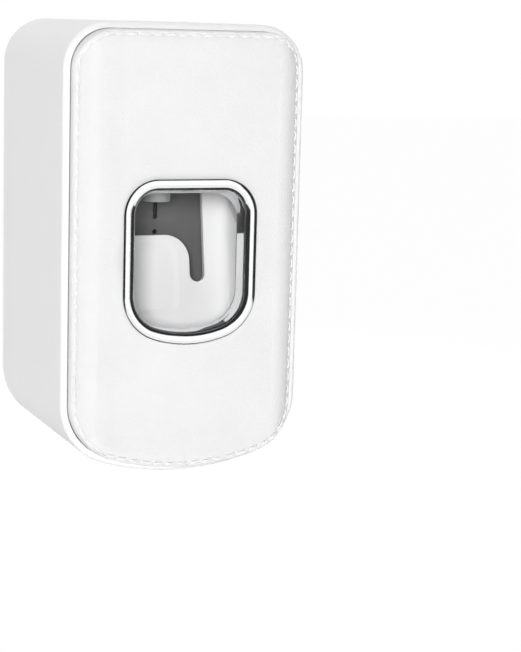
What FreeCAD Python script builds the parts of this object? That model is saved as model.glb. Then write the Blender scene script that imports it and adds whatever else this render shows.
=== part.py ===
"""Wall-hung toothpaste dispenser with a squeeze lever, a padded front cover and a brush rack.

Millimetres. +X is to the right, +Y goes to the wall, +Z is up.
The origin is the middle of the face that sticks to the wall.
A depth is a distance out from the wall, so it stands for a negative Y.
"""
import FreeCAD
import Part
import math
import os
from dataclasses import dataclass

Vector = FreeCAD.Vector

# Case
BODY_WIDTH = 84.0
BODY_HEIGHT = 150.0
BODY_DEPTH = 75.0
BODY_TOP_RADIUS = 15.5
BODY_BOTTOM_RADIUS = 21.5
BODY_SAG_RADIUS = 90.0
WALL_GAP = 1.0
SHELL_WALL = 2.2
RIM_ROUND = 1.4
REAR_CHAMFER = 0.7
LEDGE_WIDTH = 2.4
LEDGE_THICKNESS = 2.0

# Wall mount
PLATE_WIDTH = 60.0
PLATE_HEIGHT = 50.0
PLATE_RADIUS = 6.0
PLATE_THICKNESS = 2.0
PAD_MARGIN = 2.0
STUD_SPACING = 34.0
STUD_HEIGHT = 8.0
STUD_RADIUS = 3.0
STUD_HEAD_RADIUS = 5.4
STUD_HEAD_THICKNESS = 2.0
STUD_HEAD_CHAMFER = 0.7
HANG_LIFT = 10.0
HANG_PLAY = 0.3
STUD_PLAY = 0.4

# Rear cover and screws
REAR_COVER_THICKNESS = 2.2
REAR_COVER_PLAY = 0.2
BOSS_RADIUS = 3.6
BOSS_LENGTH = 12.0
BOSS_END = 27.0
BOSS_BITE = 0.5
SCREW_RADIUS = 1.2
SCREW_PLAY = 0.05
SCREW_HOLE_PLAY = 0.4
SCREW_LENGTH = 8.0
SCREW_END_PLAY = 1.0
SCREW_HEAD_RADIUS = 2.6
SCREW_HEAD_HEIGHT = 1.4
SCREW_HEAD_CHAMFER = 0.6

# Brush rack
BRUSH_PITCH = 21.5
NECK_WIDTH = 7.0
HEAD_HOLE_WIDTH = 15.0
HEAD_HOLE_LENGTH = 17.0
HEAD_HOLE_ROUND = 3.5
RACK_MARGIN = 3.4
RACK_FRONT_LAND = 2.0
RACK_COVER_PLAY = 0.5
RACK_LIP = 2.0
RACK_LIP_THICKNESS = 1.6
RACK_PLAY = 0.15
RACK_RISE = 20.0
SLOT_LAND = 2.2

# Tube seat in the top
FLOW_SETBACK = 29.0
COLLAR_RADIUS = 13.0
COLLAR_WALL = 2.5
COLLAR_PLAY = 0.2
COLLAR_FLANGE = 2.6
COLLAR_FLANGE_THICKNESS = 2.0
COLLAR_DROP = 0.2
COLLAR_FLOOR = 2.0
SLEEVE_PLAY = 0.1
SLEEVE_DROP = 1.5
SLEEVE_LENGTH = 10.5
SLEEVE_CHAMFER = 1.2
NECK_BORE_RADIUS = 6.4
PASTE_BORE_RADIUS = 4.0

# Chassis
CHASSIS_SIDE_GAP = 6.9
CHASSIS_WALL = 2.0
CHASSIS_FLOW_GAP = 15.0
CHASSIS_FOOT_MARGIN = 4.5
DECK_REACH = 15.0
CHEEK_DROP = 50.0
CHEEK_REACH = 22.0
CHEEK_ROUND = 6.0
PILLAR_RADIUS = 3.4
PILLAR_INSET = 7.9
PILLAR_TOP_MARGIN = 14.0
PILLAR_PLATE_GAP = 1.9
MARK_OFFSET = 5.2
MARK_WIDTH = 1.6
MARK_DROP = 0.4
MARK_LENGTH = 7.6
MARK_HOLE_DROP = 12.7
MARK_HOLE_RADIUS = 0.9

# Pump
BULB_RADIUS = 6.5
BULB_WALL = 1.5
BULB_FLANGE = 2.0
BULB_FLANGE_THICKNESS = 1.6
BULB_PLAY = 0.3
VALVE_THICKNESS = 1.2
VALVE_FLAP_WIDTH = 0.5
ANVIL_HALF_WIDTH = 9.0
ANVIL_THICKNESS = 2.4
ANVIL_LENGTH = 26.0
PUMP_HEIGHT = 34.0
SHELF_THICKNESS = 2.4
SHELF_HALF_WIDTH = 11.0
SHELF_REACH = 8.0
NOZZLE_LENGTH = 8.2
NOZZLE_FLANGE_RADIUS = 6.4
NOZZLE_FLANGE_THICKNESS = 1.6
NOZZLE_SPIGOT_LENGTH = 6.0
NOZZLE_ROOT_RADIUS = 5.3
NOZZLE_TIP_RADIUS = 5.0
NOZZLE_BORE_RADIUS = 2.2
OUTLET_LENGTH = 3.0
SLIT_WIDTH = 0.4
SNUG = 0.1

# Lever
PIVOT_STANDOFF = 5.0
PIVOT_DROP = 30.0
PIN_RADIUS = 1.5
PIN_PLAY = 0.05
PIN_LENGTH = 11.4
HUB_RADIUS = 4.5
LEVER_TILT = 9.0
LEVER_SIDE_PLAY = 0.9
LEVER_WALL = 2.2
LEVER_FRONT = 1.5
LEVER_SIDE = 11.0
LEVER_LENGTH = 64.0
LEVER_FOOT_RADIUS = 15.0
LEVER_FOLD_RADIUS = 6.0
SIDE_TAPER_TOP = 0.5
SIDE_TAPER_FOOT = 22.5
SIDE_TAPER_BOW = 2.2
SIDE_ROOT = 0.4
NOTCH_HALF_WIDTH = 19.7
PADDLE_HALF_WIDTH = 14.1
PADDLE_DROP = 25.3
PADDLE_RADIUS = 9.0
SLOT_FOOT = 42.0
PANEL_MARGIN = 4.0
PANEL_DROP = 2.4
PANEL_LENGTH = 25.6
PANEL_RADIUS = 5.5
PANEL_SLOPE = 2.1
PANEL_SINK = 0.6
BAR_RADIUS = 2.5
BAR_HEIGHT = 16.0
ARM_THICKNESS = 4.0
STOP_SPACING = 22.0
STOP_THICKNESS = 2.0
STOP_HEIGHT = 8.0

# Return spring
SPRING_HEIGHT = 44.0
SPRING_RADIUS = 4.0
SPRING_WIRE_RADIUS = 0.45
SPRING_WIRE_SIDES = 6
SPRING_TURNS = 5
SPRING_POINTS_PER_TURN = 16
SPRING_PLAY = 0.4
SPRING_CUP_DEPTH = 10.0
SPRING_CUP_PLAY = 1.4
SPRING_CUP_WALL = 1.5
SPRING_POST_RADIUS = 2.8
SPRING_POST_LENGTH = 3.0

# Front cover
COVER_GAP = 0.35
COVER_PROUD = 6.0
COVER_EDGE_PROUD = 1.0
COVER_ROLL_RADIUS = 10.0
COVER_EDGE_ROUND = 0.8
COVER_TUCK = 1.0
SKIRT_DEPTH = 4.0
SKIN_THICKNESS = 1.0
FOAM_THICKNESS = 1.5
CARRIER_WALL = 1.8

# Window and bezel
WINDOW_WIDTH = 47.0
WINDOW_HEIGHT = 55.5
WINDOW_DROP = 16.75
WINDOW_TOP_RADIUS = 12.0
WINDOW_BOTTOM_RADIUS = 16.0
WINDOW_SAG_RADIUS = 40.0
BEZEL_FACE = 4.3
BEZEL_PROUD = 1.5
BEZEL_THROAT_WALL = 1.2
BEZEL_OUTER_ROUND = 1.1
BEZEL_INNER_ROUND = 2.2
BEZEL_PLAY = 0.15
RETAINER_RIM = 2.0
RETAINER_THICKNESS = 2.4
RETAINER_SETBACK = 0.4
RETAINER_LIP_THICKNESS = 1.4
RETAINER_BROW = 1.65

# Magnets
MAGNET_RADIUS = 3.0
MAGNET_THICKNESS = 2.0
MAGNET_GAP = 0.3
MAGNET_PLAY = 0.05
MAGNET_BOSS_WALL = 1.6
MAGNET_BOSS_LENGTH = 9.0
MAGNET_TOP_DROP = 25.0
MAGNET_FOOT_RISE = 33.0

# Cuts run this much past the faces they open
OVERRUN = 1.0

# Depths from the wall
RIM_DEPTH = WALL_GAP + BODY_DEPTH
PLATE_FACE_DEPTH = WALL_GAP + PLATE_THICKNESS
REAR_OUTER_DEPTH = PLATE_FACE_DEPTH + HANG_PLAY
REAR_INNER_DEPTH = REAR_OUTER_DEPTH + REAR_COVER_THICKNESS
COVER_FRONT_DEPTH = RIM_DEPTH + COVER_PROUD
FLOW_DEPTH = RIM_DEPTH - FLOW_SETBACK
CHASSIS_FACE_DEPTH = FLOW_DEPTH - CHASSIS_FLOW_GAP
CHASSIS_REAR_DEPTH = CHASSIS_FACE_DEPTH - CHASSIS_WALL
PIVOT_DEPTH = CHASSIS_FACE_DEPTH + PIVOT_STANDOFF
BAR_DEPTH = FLOW_DEPTH - BULB_RADIUS - BULB_PLAY - BAR_RADIUS
MAGNET_FACE_DEPTH = RIM_DEPTH - SKIRT_DEPTH - CARRIER_WALL
RACK_FRONT_DEPTH = RIM_DEPTH - SKIRT_DEPTH - RACK_COVER_PLAY - RACK_LIP
BRUSH_DEPTH = RACK_FRONT_DEPTH - RACK_FRONT_LAND - NECK_WIDTH / 2

# Insets and sinks of the cover's layers
COVER_INSET = SHELL_WALL + COVER_GAP
CARRIER_INSET = COVER_INSET + SKIN_THICKNESS
FOAM_SINK = SKIN_THICKNESS + FOAM_THICKNESS
CARRIER_SINK = FOAM_SINK + CARRIER_WALL
THROAT_OUTER_INSET = BEZEL_FACE - BEZEL_THROAT_WALL
THROAT_END_DEPTH = COVER_FRONT_DEPTH - CARRIER_SINK - RETAINER_THICKNESS

# Heights, hung from the top of the case
COLLAR_TOP = BODY_HEIGHT / 2 - COLLAR_DROP
SLEEVE_TOP = COLLAR_TOP - SLEEVE_DROP
SLEEVE_FOOT = SLEEVE_TOP - SLEEVE_LENGTH
COLLAR_FLOOR_HEIGHT = SLEEVE_FOOT - COLLAR_FLOOR
DECK_TOP = COLLAR_FLOOR_HEIGHT - VALVE_THICKNESS - BULB_FLANGE_THICKNESS
DECK_HEIGHT = DECK_TOP - CHASSIS_WALL
SHELF_HEIGHT = DECK_HEIGHT - PUMP_HEIGHT
NOZZLE_BOTTOM = SHELF_HEIGHT - NOZZLE_LENGTH
PIVOT_HEIGHT = DECK_HEIGHT - PIVOT_DROP
WINDOW_CENTRE = NOZZLE_BOTTOM - WINDOW_DROP
PILLAR_TOP = DECK_TOP - PILLAR_TOP_MARGIN
PILLAR_FOOT = PLATE_HEIGHT / 2 + HANG_LIFT + SCREW_HEAD_RADIUS + PILLAR_PLATE_GAP
CHASSIS_FOOT = PILLAR_FOOT + CHASSIS_FOOT_MARGIN

# Widths that nest inside the case
CHASSIS_HALF_WIDTH = BODY_WIDTH / 2 - SHELL_WALL - CHASSIS_SIDE_GAP
LEVER_HALF_WIDTH = CHASSIS_HALF_WIDTH - CHASSIS_WALL - LEVER_SIDE_PLAY
MAGNET_BOSS_RADIUS = MAGNET_RADIUS + MAGNET_BOSS_WALL


@dataclass(frozen=True)
class Outline:
    """Closed front view with a flat top, round corners and a bottom that bows down."""

    width: float
    top: float
    bottom: float
    top_radius: float
    bottom_radius: float
    sag_radius: float

    def wire(self, inset):
        """Return the outline at Y zero, moved inwards by the inset."""
        half = self.width / 2
        top_x = half - self.top_radius
        top_z = self.top - self.top_radius
        foot_x = half - self.bottom_radius
        sag_z = self.bottom + self.sag_radius
        run = self.sag_radius - self.bottom_radius
        foot_z = sag_z - math.sqrt(run ** 2 - foot_x ** 2)
        side = half - inset
        top_r = self.top_radius - inset
        foot_r = self.bottom_radius - inset
        sag_r = self.sag_radius - inset
        lean = math.atan2(foot_x, sag_z - foot_z)
        middle = (lean + math.pi / 2) / 2

        def point(x, z):
            return Vector(x, 0, z)

        def corner(sign):
            start = point(sign * side, foot_z)
            mid = point(sign * (foot_x + foot_r * math.sin(middle)), foot_z - foot_r * math.cos(middle))
            end = point(sign * sag_r * math.sin(lean), sag_z - sag_r * math.cos(lean))
            return start, mid, end

        def shoulder(sign):
            start = point(sign * side, top_z)
            bend = top_r * math.sqrt(1 / 2)
            mid = point(sign * (top_x + bend), top_z + bend)
            end = point(sign * top_x, top_z + top_r)
            return start, mid, end

        right, left = corner(1), corner(-1)
        high, low = shoulder(1), shoulder(-1)
        lowest = point(0, sag_z - sag_r)
        edges = [
            Part.makeLine(right[0], high[0]),
            Part.Arc(*high).toShape(),
            Part.makeLine(high[2], low[2]),
            Part.Arc(low[2], low[1], low[0]).toShape(),
            Part.makeLine(low[0], left[0]),
            Part.Arc(*left).toShape(),
            Part.Arc(left[2], lowest, right[2]).toShape(),
            Part.Arc(right[2], right[1], right[0]).toShape(),
        ]
        return Part.Wire(edges)

    def prism(self, inset, near, far):
        """Return the outline as a solid between two depths."""
        return prism(self.wire(inset), near, far)


BODY = Outline(BODY_WIDTH, BODY_HEIGHT / 2, -BODY_HEIGHT / 2,
               BODY_TOP_RADIUS, BODY_BOTTOM_RADIUS, BODY_SAG_RADIUS)
WINDOW = Outline(WINDOW_WIDTH, WINDOW_CENTRE + WINDOW_HEIGHT / 2, WINDOW_CENTRE - WINDOW_HEIGHT / 2,
                 WINDOW_TOP_RADIUS, WINDOW_BOTTOM_RADIUS, WINDOW_SAG_RADIUS)


def prism(wire, near, far):
    """Return a flat wire of the front view as a solid between two depths."""
    face = Part.Face(wire)
    face.translate(Vector(0, -near, 0))
    return face.extrude(Vector(0, near - far, 0))


def block(x_from, x_to, near, far, z_from, z_to):
    """Return a box between two sides, two depths and two heights."""
    return Part.makeBox(x_to - x_from, far - near, z_to - z_from, Vector(x_from, -far, z_from))


def rod_x(depth, z, radius, x_from, x_to):
    """Return a rod that runs across."""
    return Part.makeCylinder(radius, x_to - x_from, Vector(x_from, -depth, z), Vector(1, 0, 0))


def rod_y(x, z, radius, near, far):
    """Return a rod that runs out from the wall."""
    return Part.makeCylinder(radius, far - near, Vector(x, -far, z), Vector(0, 1, 0))


def rod_z(depth, radius, z_from, z_to):
    """Return an upright rod on the middle plane."""
    return Part.makeCylinder(radius, z_to - z_from, Vector(0, -depth, z_from), Vector(0, 0, 1))


def rounded_rectangle(x_from, x_to, z_from, z_to, radius):
    """Return the front view wire of a rectangle with round corners."""
    bend = radius * (1 - math.sqrt(1 / 2))
    edges = []
    corners = [(x_to, z_from, -1, 1), (x_to, z_to, -1, -1), (x_from, z_to, 1, -1), (x_from, z_from, 1, 1)]
    arcs = []
    for x, z, to_x, to_z in corners:
        beside = Vector(x + to_x * radius, 0, z)
        above = Vector(x, 0, z + to_z * radius)
        mid = Vector(x + to_x * bend, 0, z + to_z * bend)
        ends = (beside, mid, above) if to_x * to_z < 0 else (above, mid, beside)
        arcs.append(ends)
    for place, arc in enumerate(arcs):
        before = arcs[place - 1]
        edges.append(Part.makeLine(before[2], arc[0]))
        edges.append(Part.Arc(*arc).toShape())
    return Part.Wire(edges)


def fused(shapes):
    """Return one solid from shapes that meet."""
    return shapes[0].multiFuse(shapes[1:]).removeSplitter()


def cut(shape, tools):
    """Return the shape with the tools taken away."""
    return shape.cut(tools)


def both_sides(shape):
    """Return a shape of the right side with its mirror image."""
    return [shape, shape.mirror(Vector(0, 0, 0), Vector(1, 0, 0))]


def edges_at_depth(shape, depth):
    """Return the edges that lie whole in the plane of one depth."""
    found = []
    for edge in shape.Edges:
        box = edge.BoundBox
        off = max(abs(box.YMin + depth), abs(box.YMax + depth))
        if off < Part.Precision.confusion():
            found.append(edge)
    return found


def boss_places():
    """Return the side to side and height places of the rear cover screws."""
    x = BODY_WIDTH / 2 - SHELL_WALL - BOSS_RADIUS + BOSS_BITE
    z = BODY_HEIGHT / 2 - BOSS_END
    return [(sign * x, sign_z * z) for sign in (1, -1) for sign_z in (1, -1)]


def pillar_places():
    """Return the places of the chassis screws."""
    x = CHASSIS_HALF_WIDTH - PILLAR_INSET
    return [(sign * x, z) for sign in (1, -1) for z in (PILLAR_TOP, -PILLAR_FOOT)]


def magnet_places():
    """Return the places of the magnets."""
    x = BODY_WIDTH / 2 - SHELL_WALL - MAGNET_BOSS_RADIUS + BOSS_BITE
    ends = (BODY_HEIGHT / 2 - MAGNET_TOP_DROP, MAGNET_FOOT_RISE - BODY_HEIGHT / 2)
    return [(sign * x, z) for sign in (1, -1) for z in ends]


def rack_box(margin):
    """Return the box that parts the rack from the case, grown by a margin."""
    half = BRUSH_PITCH + HEAD_HOLE_WIDTH / 2 + RACK_MARGIN + margin
    near = BRUSH_DEPTH - NECK_WIDTH / 2 - SLOT_LAND - HEAD_HOLE_LENGTH - RACK_MARGIN - margin
    return block(-half, half, near, RACK_FRONT_DEPTH + margin, -BODY_HEIGHT, RACK_RISE - BODY_HEIGHT / 2)


def adhesive_pad():
    """Sticky pad between the wall and the wall plate."""
    half_x = PLATE_WIDTH / 2 - PAD_MARGIN
    half_z = PLATE_HEIGHT / 2 - PAD_MARGIN
    rim = rounded_rectangle(-half_x, half_x, -half_z, half_z, PLATE_RADIUS - PAD_MARGIN)
    return prism(rim, 0, WALL_GAP)


def wall_plate():
    """Plate with two mushroom studs that the case hangs on."""
    half_x = PLATE_WIDTH / 2
    half_z = PLATE_HEIGHT / 2
    rim = rounded_rectangle(-half_x, half_x, -half_z, half_z, PLATE_RADIUS)
    plate = prism(rim, WALL_GAP, PLATE_FACE_DEPTH)
    head_near = REAR_INNER_DEPTH + HANG_PLAY
    x = STUD_SPACING / 2
    shank = rod_y(x, STUD_HEIGHT, STUD_RADIUS, WALL_GAP, head_near + STUD_HEAD_THICKNESS)
    head = rod_y(x, STUD_HEIGHT, STUD_HEAD_RADIUS, head_near, head_near + STUD_HEAD_THICKNESS)
    head = head.makeChamfer(STUD_HEAD_CHAMFER, edges_at_depth(head, head_near + STUD_HEAD_THICKNESS))
    return fused([plate] + both_sides(shank) + both_sides(head))


def housing_shell():
    """Case that wraps round the sides, with a rounded rim at the front."""
    outer = BODY.prism(0, WALL_GAP, RIM_DEPTH)
    outer = outer.makeFillet(RIM_ROUND, edges_at_depth(outer, RIM_DEPTH))
    outer = outer.makeChamfer(REAR_CHAMFER, edges_at_depth(outer, WALL_GAP))
    shell = outer.cut(BODY.prism(SHELL_WALL, WALL_GAP - OVERRUN, RIM_DEPTH + OVERRUN))
    ledge_far = REAR_INNER_DEPTH + LEDGE_THICKNESS
    ledge = BODY.prism(SHELL_WALL - BOSS_BITE, REAR_INNER_DEPTH, ledge_far)
    ledge = ledge.cut(BODY.prism(SHELL_WALL + LEDGE_WIDTH, REAR_INNER_DEPTH - OVERRUN, ledge_far + OVERRUN))
    bosses = [rod_y(x, z, BOSS_RADIUS, REAR_INNER_DEPTH, REAR_INNER_DEPTH + BOSS_LENGTH)
              for x, z in boss_places()]
    stands = [rod_y(x, z, MAGNET_BOSS_RADIUS, MAGNET_FACE_DEPTH - MAGNET_BOSS_LENGTH, MAGNET_FACE_DEPTH)
              for x, z in magnet_places()]
    shell = fused([shell, ledge] + bosses + stands)
    pilots = [pilot_hole(x, z) for x, z in boss_places()]
    pockets = [rod_y(x, z, MAGNET_RADIUS + MAGNET_PLAY, MAGNET_FACE_DEPTH - MAGNET_THICKNESS,
                     MAGNET_FACE_DEPTH + OVERRUN) for x, z in magnet_places()]
    inlet = rod_z(FLOW_DEPTH, COLLAR_RADIUS + COLLAR_PLAY, DECK_TOP, BODY_HEIGHT)
    return cut(shell, pilots + pockets + [inlet, rack_box(0)])


def rear_cover():
    """Back plate with two keyholes."""
    plate = BODY.prism(SHELL_WALL + REAR_COVER_PLAY, REAR_OUTER_DEPTH, REAR_INNER_DEPTH)
    near = REAR_OUTER_DEPTH - OVERRUN
    far = REAR_INNER_DEPTH + OVERRUN
    places = boss_places() + pillar_places()
    holes = [rod_y(x, z, SCREW_RADIUS + SCREW_HOLE_PLAY, near, far) for x, z in places]
    x = STUD_SPACING / 2
    neck = STUD_RADIUS + STUD_PLAY
    entry = STUD_HEIGHT - HANG_LIFT
    holes += both_sides(rod_y(x, STUD_HEIGHT, neck, near, far))
    holes += both_sides(block(x - neck, x + neck, near, far, entry, STUD_HEIGHT))
    holes += both_sides(rod_y(x, entry, STUD_HEAD_RADIUS + STUD_PLAY, near, far))
    return cut(plate, holes)


def pilot_hole(x, z):
    """Return the cutter for the hole that one screw bites into."""
    far = REAR_INNER_DEPTH + SCREW_LENGTH + SCREW_END_PLAY
    return rod_y(x, z, SCREW_RADIUS + SCREW_PLAY, REAR_INNER_DEPTH - OVERRUN, far)


def pan_screw(x, z):
    """Return one screw driven into the case from the back."""
    head = rod_y(x, z, SCREW_HEAD_RADIUS, REAR_OUTER_DEPTH - SCREW_HEAD_HEIGHT, REAR_OUTER_DEPTH)
    head = head.makeChamfer(SCREW_HEAD_CHAMFER, edges_at_depth(head, REAR_OUTER_DEPTH - SCREW_HEAD_HEIGHT))
    shank = rod_y(x, z, SCREW_RADIUS, REAR_OUTER_DEPTH, REAR_INNER_DEPTH + SCREW_LENGTH)
    return fused([head, shank])


def rear_cover_screws():
    """Four screws that hold the rear cover."""
    return Part.makeCompound([pan_screw(x, z) for x, z in boss_places()])


def chassis_screws():
    """Four screws that hold the chassis to the rear cover."""
    return Part.makeCompound([pan_screw(x, z) for x, z in pillar_places()])


def brush_rack():
    """Curved bottom plate with three keyhole slots, hung in the case by its lip."""
    lip_inset = SHELL_WALL + RACK_PLAY
    band = BODY.prism(0, WALL_GAP, RIM_DEPTH)
    band = band.cut(BODY.prism(lip_inset + RACK_LIP_THICKNESS, 0, RIM_DEPTH + OVERRUN))
    plate = band.common(rack_box(-RACK_PLAY))
    lip_band = BODY.prism(lip_inset, WALL_GAP, RIM_DEPTH)
    lip_band = lip_band.cut(BODY.prism(lip_inset + RACK_LIP_THICKNESS, 0, RIM_DEPTH + OVERRUN))
    lip = lip_band.common(rack_box(RACK_LIP))
    rack = fused([plate, lip])
    cuts = []
    for step in (-1, 0, 1):
        x = step * BRUSH_PITCH
        neck = NECK_WIDTH / 2
        hole = HEAD_HOLE_WIDTH / 2
        hole_far = BRUSH_DEPTH - neck - SLOT_LAND
        hole_near = hole_far - HEAD_HOLE_LENGTH
        end = Part.makeCylinder(neck, BODY_HEIGHT, Vector(x, -BRUSH_DEPTH, -BODY_HEIGHT))
        way = block(x - neck, x + neck, hole_far - OVERRUN, BRUSH_DEPTH, -BODY_HEIGHT, 0)
        head = block(x - hole, x + hole, hole_near, hole_far, -BODY_HEIGHT, 0)
        upright = [edge for edge in head.Edges if edge.BoundBox.ZLength > BODY_HEIGHT / 2]
        head = head.makeFillet(HEAD_HOLE_ROUND, upright)
        cuts += [end, way, head]
    return cut(rack, cuts)


def housing_magnets():
    """Four magnets in the bosses of the case."""
    near = MAGNET_FACE_DEPTH - MAGNET_THICKNESS
    discs = [rod_y(x, z, MAGNET_RADIUS, near, MAGNET_FACE_DEPTH) for x, z in magnet_places()]
    return Part.makeCompound(discs)


def inlet_collar():
    """Ring in the top of the case that carries the tube seat."""
    ring = rod_z(FLOW_DEPTH, COLLAR_RADIUS, DECK_TOP, COLLAR_TOP)
    roof = BODY_HEIGHT / 2 - SHELL_WALL - COLLAR_PLAY
    flange = rod_z(FLOW_DEPTH, COLLAR_RADIUS + COLLAR_FLANGE, roof - COLLAR_FLANGE_THICKNESS, roof)
    bore = COLLAR_RADIUS - COLLAR_WALL
    seat = rod_z(FLOW_DEPTH, bore, SLEEVE_FOOT, BODY_HEIGHT)
    under = rod_z(FLOW_DEPTH, bore, DECK_HEIGHT, COLLAR_FLOOR_HEIGHT)
    paste = rod_z(FLOW_DEPTH, PASTE_BORE_RADIUS, DECK_HEIGHT, BODY_HEIGHT)
    return cut(fused([ring, flange]), [seat, under, paste])


def tube_sleeve():
    """Soft seat that grips the neck of an upended toothpaste tube."""
    outer = rod_z(FLOW_DEPTH, COLLAR_RADIUS - COLLAR_WALL - SLEEVE_PLAY, SLEEVE_FOOT, SLEEVE_TOP)
    bore = rod_z(FLOW_DEPTH, NECK_BORE_RADIUS, SLEEVE_FOOT - OVERRUN, SLEEVE_TOP + OVERRUN)
    mouth = Part.makeCone(NECK_BORE_RADIUS, NECK_BORE_RADIUS + SLEEVE_CHAMFER, SLEEVE_CHAMFER,
                          Vector(0, -FLOW_DEPTH, SLEEVE_TOP - SLEEVE_CHAMFER))
    return cut(outer, [bore, mouth])


def chassis():
    """Dark frame of the squeeze unit."""
    half = CHASSIS_HALF_WIDTH
    wall = block(-half, half, CHASSIS_REAR_DEPTH, CHASSIS_FACE_DEPTH, -CHASSIS_FOOT, DECK_TOP)
    deck = block(-half, half, CHASSIS_REAR_DEPTH, FLOW_DEPTH + DECK_REACH, DECK_HEIGHT, DECK_TOP)
    cheek = block(half - CHASSIS_WALL, half, CHASSIS_REAR_DEPTH, CHASSIS_FACE_DEPTH + CHEEK_REACH,
                  PIVOT_HEIGHT - CHEEK_DROP, DECK_TOP)
    corner = [edge for edge in cheek.Edges
              if edge.BoundBox.XLength > CHASSIS_WALL / 2 and edge.BoundBox.YMin < -CHASSIS_FACE_DEPTH
              and edge.BoundBox.ZMax < PIVOT_HEIGHT]
    cheek = cheek.makeFillet(CHEEK_ROUND, corner)
    anvil_near = FLOW_DEPTH + BULB_RADIUS + BULB_PLAY
    anvil = block(-ANVIL_HALF_WIDTH, ANVIL_HALF_WIDTH, anvil_near, anvil_near + ANVIL_THICKNESS,
                  DECK_HEIGHT - ANVIL_LENGTH, DECK_TOP)
    shelf_top = SHELF_HEIGHT + SHELF_THICKNESS
    shelf = block(-SHELF_HALF_WIDTH, SHELF_HALF_WIDTH, CHASSIS_REAR_DEPTH, FLOW_DEPTH + SHELF_REACH,
                  SHELF_HEIGHT, shelf_top)
    stop_far = BAR_DEPTH - BAR_RADIUS - BULB_PLAY
    bar_z = PIVOT_HEIGHT + BAR_HEIGHT
    stop = block(STOP_SPACING / 2 - STOP_THICKNESS / 2, STOP_SPACING / 2 + STOP_THICKNESS / 2,
                 CHASSIS_REAR_DEPTH, stop_far, bar_z - STOP_HEIGHT / 2, bar_z + STOP_HEIGHT / 2)
    pillars = [rod_y(x, z, PILLAR_RADIUS, REAR_INNER_DEPTH, CHASSIS_FACE_DEPTH) for x, z in pillar_places()]
    cup_near = CHASSIS_FACE_DEPTH - SPRING_CUP_DEPTH
    cup_z = PIVOT_HEIGHT - SPRING_HEIGHT
    cup_bore = SPRING_RADIUS + SPRING_WIRE_RADIUS + SPRING_CUP_PLAY
    cup = rod_y(0, cup_z, cup_bore + SPRING_CUP_WALL, cup_near - SPRING_CUP_WALL, CHASSIS_FACE_DEPTH)
    frame = fused([wall, deck, anvil, shelf, cup] + both_sides(cheek) + both_sides(stop) + pillars)
    cuts = [pilot_hole(x, z) for x, z in pillar_places()]
    cuts.append(rod_y(0, cup_z, cup_bore, cup_near, CHASSIS_FACE_DEPTH + OVERRUN))
    cuts.append(rod_z(FLOW_DEPTH, BULB_RADIUS + BULB_PLAY, DECK_HEIGHT - OVERRUN, DECK_TOP + OVERRUN))
    spigot = BULB_RADIUS - BULB_WALL - SNUG
    cuts.append(rod_z(FLOW_DEPTH, spigot + SNUG, SHELF_HEIGHT - OVERRUN, shelf_top + OVERRUN))
    pin_from = half - CHASSIS_WALL - OVERRUN
    cuts += both_sides(rod_x(PIVOT_DEPTH, PIVOT_HEIGHT, PIN_RADIUS, pin_from, half + OVERRUN))
    mark_top = NOZZLE_BOTTOM - MARK_DROP
    slot = block(MARK_OFFSET - MARK_WIDTH / 2, MARK_OFFSET + MARK_WIDTH / 2,
                 CHASSIS_REAR_DEPTH - OVERRUN, CHASSIS_FACE_DEPTH + OVERRUN, mark_top - MARK_LENGTH, mark_top)
    vent = rod_y(MARK_OFFSET, NOZZLE_BOTTOM - MARK_HOLE_DROP, MARK_HOLE_RADIUS,
                 CHASSIS_REAR_DEPTH - OVERRUN, CHASSIS_FACE_DEPTH + OVERRUN)
    return cut(frame, cuts + both_sides(slot) + both_sides(vent))


def inlet_valve():
    """Thin flap that lets paste down and not back."""
    foot = DECK_TOP + BULB_FLANGE_THICKNESS
    disc = rod_z(FLOW_DEPTH, BULB_RADIUS + BULB_FLANGE, foot, COLLAR_FLOOR_HEIGHT)
    ring = rod_z(FLOW_DEPTH, PASTE_BORE_RADIUS, DECK_TOP, BODY_HEIGHT)
    flap = rod_z(FLOW_DEPTH, PASTE_BORE_RADIUS - VALVE_FLAP_WIDTH, DECK_TOP, BODY_HEIGHT)
    groove = ring.cut(flap)
    hinge = block(-PASTE_BORE_RADIUS / 2, PASTE_BORE_RADIUS / 2, FLOW_DEPTH - PASTE_BORE_RADIUS - OVERRUN,
                  FLOW_DEPTH, DECK_TOP, BODY_HEIGHT)
    return cut(disc, [groove.cut(hinge)])


def pump_bulb():
    """Soft squeeze tube between the two valves."""
    body = rod_z(FLOW_DEPTH, BULB_RADIUS, SHELF_HEIGHT + SHELF_THICKNESS, DECK_TOP + BULB_FLANGE_THICKNESS)
    flange = rod_z(FLOW_DEPTH, BULB_RADIUS + BULB_FLANGE, DECK_TOP, DECK_TOP + BULB_FLANGE_THICKNESS)
    bore = rod_z(FLOW_DEPTH, BULB_RADIUS - BULB_WALL, SHELF_HEIGHT, BODY_HEIGHT)
    return cut(fused([body, flange]), [bore])


def nozzle():
    """Light grey outlet that clips into the shelf from below."""
    flange = rod_z(FLOW_DEPTH, NOZZLE_FLANGE_RADIUS, SHELF_HEIGHT - NOZZLE_FLANGE_THICKNESS, SHELF_HEIGHT)
    spigot = rod_z(FLOW_DEPTH, BULB_RADIUS - BULB_WALL - SNUG, SHELF_HEIGHT - NOZZLE_FLANGE_THICKNESS,
                   SHELF_HEIGHT + SHELF_THICKNESS + NOZZLE_SPIGOT_LENGTH)
    tip = Part.makeCone(NOZZLE_TIP_RADIUS, NOZZLE_ROOT_RADIUS,
                        SHELF_HEIGHT - NOZZLE_FLANGE_THICKNESS - NOZZLE_BOTTOM,
                        Vector(0, -FLOW_DEPTH, NOZZLE_BOTTOM))
    bore = rod_z(FLOW_DEPTH, NOZZLE_BORE_RADIUS, 0, BODY_HEIGHT)
    return cut(fused([flange, spigot, tip]), [bore])


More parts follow.
